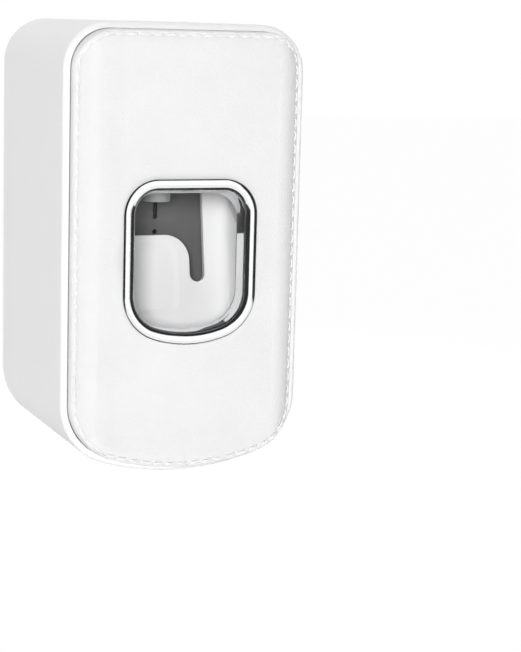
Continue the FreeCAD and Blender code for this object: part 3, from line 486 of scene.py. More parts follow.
@dataclass(frozen=True)
class DrawnFinish(Finish):
    """Metal or thread with fine lines along one way."""

    along: tuple[float, float, float] = (1.0, 1.0, 0.06)
    line_detail: float = 4.0

    def relief(self, sheet: NodeSheet, effects: Effects) -> Socket:
        """Return the height of the drawn lines.

        Args:
            sheet: The material's sheet.
            effects: The shared shader groups; not used.

        Returns:
            The socket that carries the height.
        """
        stretch = sheet.place("ShaderNodeMapping")
        sheet.give(stretch.inputs["Vector"], sheet.place("ShaderNodeTexCoord").outputs["Object"])
        stretch.inputs["Scale"].default_value = self.along
        return sheet.cloud(self.relief_scale, self.line_detail, stretch.outputs["Vector"])


@dataclass(frozen=True)
class FoamFinish(Finish):
    """Closed-cell foam: small round cells cut open."""

    cell_range: tuple[float, float] = (0.15, 0.6)

    def relief(self, sheet: NodeSheet, effects: Effects) -> Socket:
        """Return the height of the cells.

        Args:
            sheet: The material's sheet.
            effects: The shared shader groups; not used.

        Returns:
            The socket that carries the height.
        """
        cells = sheet.place("ShaderNodeTexVoronoi", feature="F1")
        sheet.give(cells.inputs["Vector"], sheet.place("ShaderNodeTexCoord").outputs["Object"])
        cells.inputs["Scale"].default_value = self.relief_scale
        return sheet.spread(cells.outputs["Distance"], *self.cell_range)


GLOSS_WHITE = Finish(
    "gloss_white", Slot.WHITE_GLOSS, (0.85, 0.85, 0.85), roughness=0.33, stray=0.005, gloss_stray=0.03,
    relief_height=0.000001, rub=0.02, film=0.03)
# The lever is the same white gloss plastic as the case. It gets a paler colour as painted light, so that it
# reads bright in the shade inside the case.
LEVER_WHITE_PAINTED_BRIGHT = Finish(
    "lever_white_painted_bright", Slot.WHITE_GLOSS, (0.95, 0.95, 0.95), roughness=0.33, stray=0.003, gloss_stray=0.03,
    relief_height=0.000001, edge_radius=0.0005, rub=0.0, film=0.008)
SATIN_WHITE = Finish(
    "satin_white", Slot.WHITE_MATTE, (0.75, 0.75, 0.755), roughness=0.48, relief_height=0.000006)
LEATHER = LeatherFinish(
    "white_leather", Slot.SKIN, (0.77, 0.77, 0.77), roughness=0.46, stray=0.014, gloss_stray=0.07,
    mottle_scale=70.0, relief_scale=820.0, relief_height=0.00005, rub=0.05, film=0.05)
THREAD = DrawnFinish(
    "waxed_thread", Slot.SKIN, (0.85, 0.85, 0.85), roughness=0.55, relief_scale=5000.0,
    relief_height=0.00003, edge_radius=0.00005, film=0.0, sheen=0.2, along=(1.0, 1.0, 1.0))
CHROME = DrawnFinish(
    "bright_plate", Slot.CHROME, (0.86, 0.865, 0.875), roughness=0.06, stray=0.01, gloss_stray=0.02,
    relief_scale=900.0, relief_height=0.0000004, rub=0.0, film=0.02, metallic=1.0)
CHARCOAL = Finish(
    "matt_charcoal", Slot.CHARCOAL, (0.17, 0.17, 0.172), roughness=0.50, stray=0.06, relief_scale=1300.0,
    relief_height=0.00002, rub=0.25, film=0.12)
LIGHT_GREY = Finish(
    "soft_grey", Slot.LIGHT_GREY, (0.50, 0.505, 0.51), roughness=0.42, relief_height=0.00001)
SILICONE = Finish(
    "milky_silicone", Slot.SILICONE, (0.72, 0.73, 0.73), roughness=0.42, scatter=0.25,
    relief_height=0.00001)
STEEL = DrawnFinish(
    "plain_steel", Slot.STEEL, (0.56, 0.56, 0.57), roughness=0.36, gloss_stray=0.06, relief_scale=2500.0,
    relief_height=0.000003, metallic=1.0, rub=0.3)
FOAM_TAPE = FoamFinish(
    "foam_tape", Slot.ADHESIVE, (0.20, 0.20, 0.205), roughness=0.8, relief_scale=2600.0,
    relief_height=0.00015, stray=0.1)


# Mesh helpers


class MeshDraft:
    """Points in millimetres and faces of one piece before it becomes an object."""

    def __init__(self) -> None:
        """Start with nothing."""
        self.points: list[Vector] = []
        self.faces: list[Sequence[int]] = []

    def ring(self, points: Sequence[Vector]) -> list[int]:
        """Add a row of points.

        Args:
            points: The points of the row.

        Returns:
            Their numbers.
        """
        start = len(self.points)
        self.points.extend(points)
        return list(range(start, len(self.points)))

    def bridge(self, first: Sequence[int], second: Sequence[int]) -> None:
        """Join two closed rows by faces: four-sided ones, or triangles at a pole.

        Args:
            first: The numbers of one row.
            second: The numbers of the other, as many.
        """
        count = len(first)
        for place in range(count):
            after = (place + 1) % count
            corners = (first[place], first[after], second[after], second[place])
            self.faces.append(tuple(dict.fromkeys(corners)))

    def loft(self, rings: Sequence[Sequence[Vector]], wrap: bool = False, caps: bool = False) -> None:
        """Join closed rows of points one after the other.

        Args:
            rings: The rows, all of one count.
            wrap: Whether the last row joins the first.
            caps: Whether the first and last rows are closed by a face each.
        """
        rows = [self.ring(points) for points in rings]
        for first, second in zip(rows, rows[1:]):
            self.bridge(first, second)
        if wrap:
            self.bridge(rows[-1], rows[0])
        if caps:
            self.faces.append(tuple(reversed(rows[0])))
            self.faces.append(tuple(rows[-1]))

    def turn(
        self, profile: Sequence[Place], centre: Vector, axis: Vector, sides: int, wrap: bool = False
    ) -> None:
        """Turn a profile about an axis.

        Args:
            profile: Radius and height along the axis, point by point; a radius of zero is a pole.
            centre: The point of the axis at height zero.
            axis: The direction of the axis.
            sides: How many faces go round.
            wrap: Whether the last point joins the first, as in a tube.
        """
        along = axis.normalized()
        side = along.orthogonal().normalized()
        across = along.cross(side)
        angles = [2.0 * math.pi * step / sides for step in range(sides)]
        ways = [side * math.cos(angle) + across * math.sin(angle) for angle in angles]
        rows: list[list[int]] = []
        for radius, height in profile:
            middle = centre + along * height
            if radius == 0.0:
                rows.append(self.ring([middle]) * sides)
            else:
                rows.append(self.ring([middle + way * radius for way in ways]))
        for first, second in zip(rows, rows[1:]):
            self.bridge(first, second)
        if wrap:
            self.bridge(rows[-1], rows[0])

    def sweep(self, path: Sequence[Vector], radius: Callable[[float, float], float], sides: int) -> None:
        """Run a round section along a path and close its ends.

        Args:
            path: The points of the path.
            radius: Gives the radius at a share of the path and an angle of the section.
            sides: How many faces go round.
        """
        last = len(path) - 1
        normal: Optional[Vector] = None
        before: Optional[Vector] = None
        rows = []
        for place, point in enumerate(path):
            way = (path[min(place + 1, last)] - path[max(place - 1, 0)]).normalized()
            if normal is None or before is None:
                normal = way.orthogonal().normalized()
            else:
                normal = (before.rotation_difference(way) @ normal).normalized()
            before = way
            other = way.cross(normal)
            row = []
            for step in range(sides):
                angle = 2.0 * math.pi * step / sides
                reach = radius(place / last, angle)
                row.append(point + (normal * math.cos(angle) + other * math.sin(angle)) * reach)
            rows.append(row)
        self.loft(rows, caps=True)

    def piece(self, name: str, crease_deg: float = 40.0) -> bpy.types.Object:
        """Turn the draft into an object.

        Args:
            name: The piece's name.
            crease_deg: Edges that turn by more than this stay sharp.

        Returns:
            The object, in the frame's metres.
        """
        mesh = bpy.data.meshes.new(name)
        mesh.from_pydata([tuple(point * MM) for point in self.points], [], self.faces)
        shape = bmesh.new()
        shape.from_mesh(mesh)
        bmesh.ops.recalc_face_normals(shape, faces=shape.faces)
        shape.to_mesh(mesh)
        shape.free()
        mesh.polygons.foreach_set("use_smooth", [True] * len(mesh.polygons))
        mesh.set_sharp_from_angle(angle=math.radians(crease_deg))
        mesh.update()
        made = bpy.data.objects.new(name, mesh)
        bpy.context.scene.collection.objects.link(made)
        return made


def smooth_step(value: float) -> float:
    """Return a soft step from 0 at 0 to 1 at 1."""
    held = min(1.0, max(0.0, value))
    return held * held * (3.0 - 2.0 * held)


def bell(value: float, half_width: float) -> float:
    """Return a soft bump, 1 at 0."""
    return math.exp(-(value / half_width) ** 2)


def arc(centre: Place, radius: float, start_deg: float, end_deg: float, steps: int) -> list[Place]:
    """Give points along an arc of a profile.

    Args:
        centre: The middle of the arc.
        radius: Its radius.
        start_deg: The angle that it starts at.
        end_deg: The angle that it ends at.
        steps: How many steps it is cut into.

    Returns:
        The points, both ends among them.
    """
    found = []
    for step in range(steps + 1):
        angle = math.radians(start_deg + (end_deg - start_deg) * step / steps)
        found.append((centre[0] + radius * math.cos(angle), centre[1] + radius * math.sin(angle)))
    return found


@dataclass(frozen=True)
class RimPoint:
    """A point of an outline with the direction that leads out of it."""

    x: float
    z: float
    out_x: float
    out_z: float

    def moved(self, inset: float, depth: float) -> Vector:
        """Return the point moved inwards, at a depth from the wall."""
        return Vector((self.x - inset * self.out_x, -depth, self.z - inset * self.out_z))


Span = tuple[float, Callable[[float], RimPoint]]


def straight_span(start: Place, end: Place, out: Place) -> Span:
    """Give a straight stretch of an outline.

    Args:
        start: Where it starts, across and up.
        end: Where it ends.
        out: The direction that leads out of the outline.

    Returns:
        Its length, and the function that gives its points by their share of it.
    """
    def at(share: float) -> RimPoint:
        """Return the point at a share of the stretch."""
        return RimPoint(start[0] + (end[0] - start[0]) * share, start[1] + (end[1] - start[1]) * share, *out)

    return math.dist(start, end), at


def round_span(centre: Place, radius: float, start: float, end: float) -> Span:
    """Give a stretch of an outline that follows an arc.

    Args:
        centre: The middle of the arc, across and up.
        radius: Its radius.
        start: The angle that it starts at.
        end: The angle that it ends at.

    Returns:
        Its length, and the function that gives its points by their share of it.
    """
    def at(share: float) -> RimPoint:
        """Return the point at a share of the arc.

        Args:
            share: How much of the arc lies before the point.

        Returns:
            The point.
        """
        angle = start + (end - start) * share
        out = (math.cos(angle), math.sin(angle))
        return RimPoint(centre[0] + radius * out[0], centre[1] + radius * out[1], *out)

    return radius * (end - start), at


@dataclass(frozen=True)
class Outline:
    """Closed front view with a flat top, round corners and a bottom that bows down."""

    width: float
    top: float
    bottom: float
    top_radius: float
    bottom_radius: float
    sag_radius: float
    least_steps: int = 4

    def spans(self) -> list[Span]:
        """Lay out the stretches, from the foot of the right side round to it again.

        Returns:
            The length of each stretch and the function that gives its points.
        """
        half = self.width / 2.0
        top_x = half - self.top_radius
        top_z = self.top - self.top_radius
        foot_x = half - self.bottom_radius
        sag_z = self.bottom + self.sag_radius
        foot_z = sag_z - math.sqrt((self.sag_radius - self.bottom_radius) ** 2 - foot_x ** 2)
        lean = math.atan2(foot_x, sag_z - foot_z)
        quarter = math.pi / 2.0
        down = 3.0 * quarter
        return [
            straight_span((half, foot_z), (half, top_z), (1.0, 0.0)),
            round_span((top_x, top_z), self.top_radius, 0.0, quarter),
            straight_span((top_x, self.top), (-top_x, self.top), (0.0, 1.0)),
            round_span((-top_x, top_z), self.top_radius, quarter, 2.0 * quarter),
            straight_span((-half, top_z), (-half, foot_z), (-1.0, 0.0)),
            round_span((-foot_x, foot_z), self.bottom_radius, 2.0 * quarter, down - lean),
            round_span((0.0, sag_z), self.sag_radius, down - lean, down + lean),
            round_span((foot_x, foot_z), self.bottom_radius, down + lean, 4.0 * quarter),
        ]

    def steps(self, spacing: float) -> list[int]:
        """Return how many points each stretch gets at a spacing."""
        return [max(self.least_steps, round(length / spacing)) for length, _ in self.spans()]

    def rim(self, steps: Sequence[int]) -> list[RimPoint]:
        """Return the points of the outline, stretch by stretch."""
        return [at(place / count) for (_, at), count in zip(self.spans(), steps) for place in range(count)]


def rectangle_rim(half_x: float, half_z: float, radius: float, steps: int) -> list[RimPoint]:
    """Give the rim of a rectangle with round corners.

    Args:
        half_x: Half its width.
        half_z: Half its height.
        radius: The radius of its corners.
        steps: How many steps each corner is cut into.

    Returns:
        The points of the rim.
    """
    found = []
    for quarter, (x, z) in enumerate(((1, 1), (-1, 1), (-1, -1), (1, -1))):
        centre = (x * (half_x - radius), z * (half_z - radius))
        _, at = round_span(centre, radius, math.pi / 2.0 * quarter, math.pi / 2.0 * (quarter + 1))
        found.extend(at(step / steps) for step in range(steps + 1))
    return found


BODY_OUTLINE = Outline(
    width=84.0, top=75.0, bottom=-75.0, top_radius=15.5, bottom_radius=21.5, sag_radius=90.0)
WINDOW_OUTLINE = Outline(
    width=47.0, top=24.8, bottom=-30.7, top_radius=12.0, bottom_radius=16.0, sag_radius=40.0)
FLOW_AXIS = Vector((0.0, -47.0, 0.0))
UP = Vector((0.0, 0.0, 1.0))
TO_WALL = Vector((0.0, 1.0, 0.0))


def node_span(node: str) -> tuple[float, float, float]:
    """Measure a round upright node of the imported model.

    Args:
        node: The node's name.

    Returns:
        Its radius, foot and top in millimetres.
    """
    low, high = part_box(node)
    return (high[0] - low[0]) / 2.0 / MM, low[2] / MM, high[2] / MM


def turned_piece(
    name: str, profile: Sequence[Place], sides: int, crease_deg: float, wrap: bool = False
) -> bpy.types.Object:
    """Turn a profile about the line that the paste flows down.

    Args:
        name: The piece's name.
        profile: Radius and height, point by point.
        sides: How many faces go round.
        crease_deg: Edges that turn by more than this stay sharp.
        wrap: Whether the last point joins the first.

    Returns:
        The piece.
    """
    draft = MeshDraft()
    draft.turn(profile, FLOW_AXIS, UP, sides, wrap)
    return draft.piece(name, crease_deg)


class Workshop:
    """Gives pieces their finish and body, and reports them."""

    def __init__(self) -> None:
        """Make the shared shader groups."""
        self.effects = Effects()

    def dress(self, node: str, finish: Finish) -> None:
        """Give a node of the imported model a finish.

        Args:
            node: The node's name.
            finish: The finish that it gets.
        """
        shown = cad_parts[node]
        shown.data.materials.clear()
        shown.data.materials.append(finish.material(self.effects))
        LOG.info("node %s in %s", node, finish.name)

    def settle(
        self, made: bpy.types.Object, body: Body, finish: Finish, *stands_for: str
    ) -> bpy.types.Object:
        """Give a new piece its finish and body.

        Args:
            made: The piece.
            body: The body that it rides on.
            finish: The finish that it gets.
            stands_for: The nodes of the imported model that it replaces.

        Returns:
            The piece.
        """
        made.data.materials.append(finish.material(self.effects))
        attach(made, body.value)
        if stands_for:
            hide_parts(*stands_for)
        LOG.info("piece %s on %s in %s", made.name, body.value, finish.name)
        return made


# Sub-assemblies


@dataclass
class WallMount:
    """The plate on the wall and the foam pad that sticks it there."""

    pad_half_width: float = 28.0
    pad_half_height: float = 23.0
    pad_radius: float = 4.0
    pad_thickness: float = 1.0
    pad_bulge: float = 0.25
    corner_steps: int = 10
    edge_shares: tuple[float, ...] = (0.0, 0.06, 0.25, 0.5, 0.75, 0.94, 1.0)

    def build_pad(self) -> bpy.types.Object:
        """Build the foam pad, whose cut edge bulges a little.

        Returns:
            The pad.
        """
        rim = rectangle_rim(self.pad_half_width, self.pad_half_height, self.pad_radius, self.corner_steps)
        rows = []
        for share in self.edge_shares:
            inset = self.pad_bulge * (1.0 - math.sin(math.pi * share))
            rows.append([point.moved(inset, self.pad_thickness * share) for point in rim])
        draft = MeshDraft()
        draft.loft(rows, caps=True)
        return draft.piece("foam_tape_pad")

    def dress(self, shop: Workshop) -> None:
        """Build the pad and finish both pieces."""
        shop.settle(self.build_pad(), Body.WALL, FOAM_TAPE, "adhesive_pad")
        shop.dress("wall_plate", SATIN_WHITE)


@dataclass
class Case:
    """The case with its rear cover, screws, brush rack and magnets."""

    cover_screw_x: float = 36.7
    cover_screw_z: tuple[float, float] = (48.0, -48.0)
    chassis_screw_x: float = 25.0
    chassis_screw_z: tuple[float, float] = (44.0, -39.5)
    head_depth: float = 3.3
    head_radius: float = 2.6
    head_height: float = 1.4
    head_flat_radius: float = 0.9
    head_break: float = 0.15
    crown_share: float = 0.62
    crown_steps: int = 8
    shank_radius: float = 1.2
    shank_length: float = 10.2
    tip_share: float = 0.7
    tip_taper: float = 0.5
    recess_width: float = 0.62
    recess_reach: float = 1.45
    recess_depth: float = 0.85
    recess_floor_share: float = 0.72
    recess_overrun: float = 0.2
    first_turn: float = 0.35
    turn_step: float = 0.9
    sides: int = 40
    head_crease_deg: float = 50.0
    recess_crease_deg: float = 35.0

    def screw_profile(self) -> list[Place]:
        """Draw half a pan-head screw, from its tip to the top of its head.

        Returns:
            Radius and height, point by point.
        """
        crown = self.head_height * self.crown_share
        flat = self.head_flat_radius
        profile = [
            (0.0, -self.shank_length), (self.shank_radius * self.tip_share, -self.shank_length),
            (self.shank_radius, self.tip_taper - self.shank_length), (self.shank_radius, 0.0),
            (self.head_radius - self.head_break, 0.0), (self.head_radius, self.head_break)]
        for step in range(self.crown_steps + 1):
            turn = math.pi / 2.0 * step / self.crown_steps
            profile.append((flat + (self.head_radius - flat) * math.cos(turn),
                            self.head_height - crown + crown * math.sin(turn)))
        return profile + [(0.0, self.head_height)]

    def recess_star(self, turn: float) -> list[Vector]:
        """Draw the outline of the cross recess.

        Args:
            turn: The angle that it is turned by.

        Returns:
            Its points, in one way round.
        """
        half, reach = self.recess_width / 2.0, self.recess_reach
        arm = [(reach, half), (reach, -half), (half, -half)]
        found = []
        for quarter in range(4):
            spin = Matrix.Rotation(turn + quarter * math.pi / 2.0, 3, "Y")
            found.extend(spin @ Vector((x, 0.0, z)) for x, z in arm)
        return found

    def build_screws(self, name: str, across: float, heights: Sequence[float]) -> bpy.types.Object:
        """Build pan-head screws with a cross recess, on both sides of the middle.

        Args:
            name: The piece's name.
            across: How far to each side they stand.
            heights: How high they stand.

        Returns:
            The screws as one piece.
        """
        profile = self.screw_profile()
        heads, cross = MeshDraft(), MeshDraft()
        places = [(x, z) for x in (-across, across) for z in heights]
        for place, (x, z) in enumerate(places):
            seat = Vector((x, -self.head_depth, z))
            heads.turn(profile, seat, TO_WALL, self.sides)
            top = seat + TO_WALL * (self.head_height + self.recess_overrun)
            floor = seat + TO_WALL * (self.head_height - self.recess_depth)
            star = self.recess_star(self.first_turn + self.turn_step * place)
            cross.loft([[floor + ray * self.recess_floor_share for ray in star],
                        [top + ray for ray in star]], caps=True)
        made = heads.piece(name, self.head_crease_deg)
        cutter = cross.piece(name + "_cross")
        carve = made.modifiers.new("cross", "BOOLEAN")
        carve.operation = "DIFFERENCE"
        carve.object = cutter
        carve.solver = "EXACT"
        bpy.context.view_layer.update()
        seen = made.evaluated_get(bpy.context.evaluated_depsgraph_get())
        carved = bpy.data.meshes.new_from_object(seen)
        made.modifiers.clear()
        made.data = carved
        carved.set_sharp_from_angle(angle=math.radians(self.recess_crease_deg))
        bpy.data.objects.remove(cutter)
        return made

    def dress(self, shop: Workshop) -> None:
        """Build the screws and finish the case's pieces.

        Args:
            shop: The workshop that finishes them.
        """
        rear = self.build_screws("rear_pan_screws", self.cover_screw_x, self.cover_screw_z)
        shop.settle(rear, Body.CASE, STEEL, "rear_cover_screws")
        inner = self.build_screws("inner_pan_screws", self.chassis_screw_x, self.chassis_screw_z)
        shop.settle(inner, Body.CASE, STEEL, "chassis_screws")
        shop.dress("housing_shell", GLOSS_WHITE)
        shop.dress("rear_cover", SATIN_WHITE)
        shop.dress("brush_rack", GLOSS_WHITE)
        shop.dress("housing_magnets", STEEL)


@dataclass
class TubeSeat:
    """The ring in the top with the soft sleeve and flap valve that the paste tube goes into."""

    sleeve_radius: float = 10.4
    bore_radius: float = 6.4
    sleeve_foot: float = 62.8
    sleeve_top: float = 73.3
    sleeve_break: float = 0.3
    sleeve_round: float = 0.8
    lip_round: float = 1.2
    bore_break: float = 0.2
    groove: float = 0.35
    groove_levels: tuple[float, ...] = (70.2, 68.2, 66.2)
    groove_half_mouth: float = 0.5
    groove_half_floor: float = 0.2
    flap_break: float = 0.2
    flap_hollow: float = 0.1
    flap_hollow_radius: float = 2.6
    hinge_outer: tuple[float, float] = (4.1, 3.9)
    hinge_inner: tuple[float, float] = (3.5, 3.3)
    hinge_depth: float = 0.45
    flap_middle: float = 2.0
    sides: int = 72
    round_steps: int = 6
    lip_steps: int = 8
    sleeve_crease_deg: float = 50.0
    flap_crease_deg: float = 35.0

    def build_sleeve(self) -> bpy.types.Object:
        """Build the sleeve with a rounded lip and grip grooves in its bore.

        Returns:
            The sleeve.
        """
        outer, bore, foot, top = self.sleeve_radius, self.bore_radius, self.sleeve_foot, self.sleeve_top
        mouth, floor = self.groove_half_mouth, self.groove_half_floor
        edge, lip = self.sleeve_round, self.lip_round
        profile = [(outer - self.sleeve_break, foot), (outer, foot + self.sleeve_break), (outer, top - edge)]
        profile += arc((outer - edge, top - edge), edge, 0.0, 90.0, self.round_steps)
        profile += arc((bore + lip, top - lip), lip, 90.0, 180.0, self.lip_steps)
        for level in self.groove_levels:
            profile += [(bore, level + mouth), (bore + self.groove, level + floor),
                        (bore + self.groove, level - floor), (bore, level - mouth)]
        profile += [(bore, foot + self.bore_break), (bore + self.bore_break, foot)]
        return turned_piece("tube_seat_sleeve", profile, self.sides, self.sleeve_crease_deg, wrap=True)

    def build_flap(self) -> bpy.types.Object:
        """Build the flap valve: a disc with a ring groove where the flap hinges.

        Returns:
            The valve.
        """
        radius, foot, top = node_span("inlet_valve")
        edge, floor = self.flap_break, top - self.hinge_depth
        profile = [
            (0.0, foot + self.flap_hollow), (self.flap_hollow_radius, foot), (radius - edge, foot),
            (radius, foot + edge), (radius, top - edge), (radius - edge, top),
            (self.hinge_outer[0], top), (self.hinge_outer[1], floor),
            (self.hinge_inner[0], floor), (self.hinge_inner[1], top),
            (self.flap_middle, top), (0.0, top)]
        return turned_piece("inlet_flap", profile, self.sides, self.flap_crease_deg)

    def dress(self, shop: Workshop) -> None:
        """Build the soft pieces and finish the ring.

        Args:
            shop: The workshop that finishes them.
        """
        shop.settle(self.build_sleeve(), Body.CASE, SILICONE, "tube_sleeve")
        shop.settle(self.build_flap(), Body.CASE, SILICONE, "inlet_valve")
        shop.dress("inlet_collar", GLOSS_WHITE)


@dataclass
class SqueezeUnit:
    """The charcoal frame with lever, spring, squeeze bulb and nozzle."""

    bulb_radius: float = 6.5
    bulb_wall: float = 1.5
    bulb_foot: float = 24.4
    bulb_top: float = 59.6
    bulb_break: float = 0.3
    bulb_waist: float = 0.18
    bulb_steps: int = 24
    bulb_sides: int = 56
    neck_run: float = 0.4
    flange_radius: float = 8.5
    flange_thickness: float = 1.6
    flange_break: float = 0.2
    bulb_anchor: tuple[float, float, float] = (0.0, -53.5, 42.0)
    bulb_keep: float = 0.75
    spring_height: float = -18.0
    spring_radius: float = 4.0
    wire_radius: float = 0.45
    wire_sides: int = 10
    spring_near: float = 22.0
    spring_far: float = 42.2
    spring_turns: float = 6.5
    spring_steps: int = 230
    closed_turns: float = 0.85
    spring_keep: float = 0.54
    outlet_sides: int = 40
    outlet_break: float = 0.2
    outlet_lip: float = 0.25
    outlet_hollow: tuple[Place, ...] = ((0.0, 0.35), (0.35, 0.3), (0.7, 0.05))
    soft_crease_deg: float = 50.0
    spring_crease_deg: float = 60.0

    def build_bulb(self) -> bpy.types.Object:
        """Build the squeeze bulb: a soft tube with a slight waist and a flange.

        Returns:
            The bulb.
        """
        outer, bore = self.bulb_radius, self.bulb_radius - self.bulb_wall
        foot, top = self.bulb_foot, self.bulb_top
        under = top - self.flange_thickness
        flange, edge = self.flange_radius, self.flange_break
        low = foot + self.bulb_break
        high = under - self.neck_run
        profile = [(bore, foot), (outer - self.bulb_break, foot), (outer, low)]
        for step in range(1, self.bulb_steps):
            share = step / self.bulb_steps
            profile.append((outer - self.bulb_waist * math.sin(math.pi * share), low + (high - low) * share))
        profile += [
            (outer, high), (outer + self.bulb_break, under), (flange - edge, under), (flange, under + edge),
            (flange, top - edge), (flange - edge, top), (bore, top)]
        return turned_piece("squeeze_bulb", profile, self.bulb_sides, self.soft_crease_deg, wrap=True)

    def build_spring(self) -> bpy.types.Object:
        """Build the round-wire spring with closed ends.

        Returns:
            The spring.
        """
        wire = 2.0 * self.wire_radius
        near, far = self.spring_near + self.wire_radius, self.spring_far - self.wire_radius
        open_turns = self.spring_turns - 2.0 * self.closed_turns
        rise = far - near - 2.0 * self.closed_turns * wire
        path = []
        for step in range(self.spring_steps + 1):
            turns = self.spring_turns * step / self.spring_steps
            head = min(turns, self.closed_turns) * wire
            tail = max(0.0, turns - self.closed_turns - open_turns) * wire
            middle = min(max(turns - self.closed_turns, 0.0), open_turns) / open_turns
            angle = 2.0 * math.pi * turns
            path.append(Vector((self.spring_radius * math.cos(angle), -(near + head + tail + rise * middle),
                                self.spring_height + self.spring_radius * math.sin(angle))))
        draft = MeshDraft()
        draft.sweep(path, lambda share, angle: self.wire_radius, self.wire_sides)
        return draft.piece("lever_spring", self.spring_crease_deg)

    def build_outlet(self) -> bpy.types.Object:
        """Build the outlet plug: a soft disc, hollowed from below.

        Returns:
            The plug.
        """
        radius, foot, top = node_span("outlet_valve")
        lip, edge = self.outlet_lip, self.outlet_break
        profile = [(radius * share, foot + rise) for share, rise in self.outlet_hollow]
        profile += [(radius - lip, foot), (radius, foot + lip), (radius, top - edge), (radius - edge, top),
                    (0.0, top)]
        return turned_piece("outlet_plug", profile, self.outlet_sides, self.soft_crease_deg)

    def dress(self, shop: Workshop) -> None:
        """Build the soft and wound pieces and finish the rest.

        Args:
            shop: The workshop that finishes them.
        """
        bulb = shop.settle(self.build_bulb(), Body.CASE, SILICONE, "pump_bulb")
        held = tuple(part * MM for part in self.bulb_anchor)
        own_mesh(bulb)
        spring = shop.settle(self.build_spring(), Body.CASE, STEEL, "return_spring")
        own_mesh(spring)
        shop.settle(self.build_outlet(), Body.CASE, SILICONE, "outlet_valve")
        shop.dress("chassis", CHARCOAL)
        shop.dress("nozzle", LIGHT_GREY)
        shop.dress("hinge_pins", STEEL)
        # The lever takes the paler copy of the white gloss, which is painted light for the shaded inside of
        # the case.
        shop.dress("lever", LEVER_WHITE_PAINTED_BRIGHT)


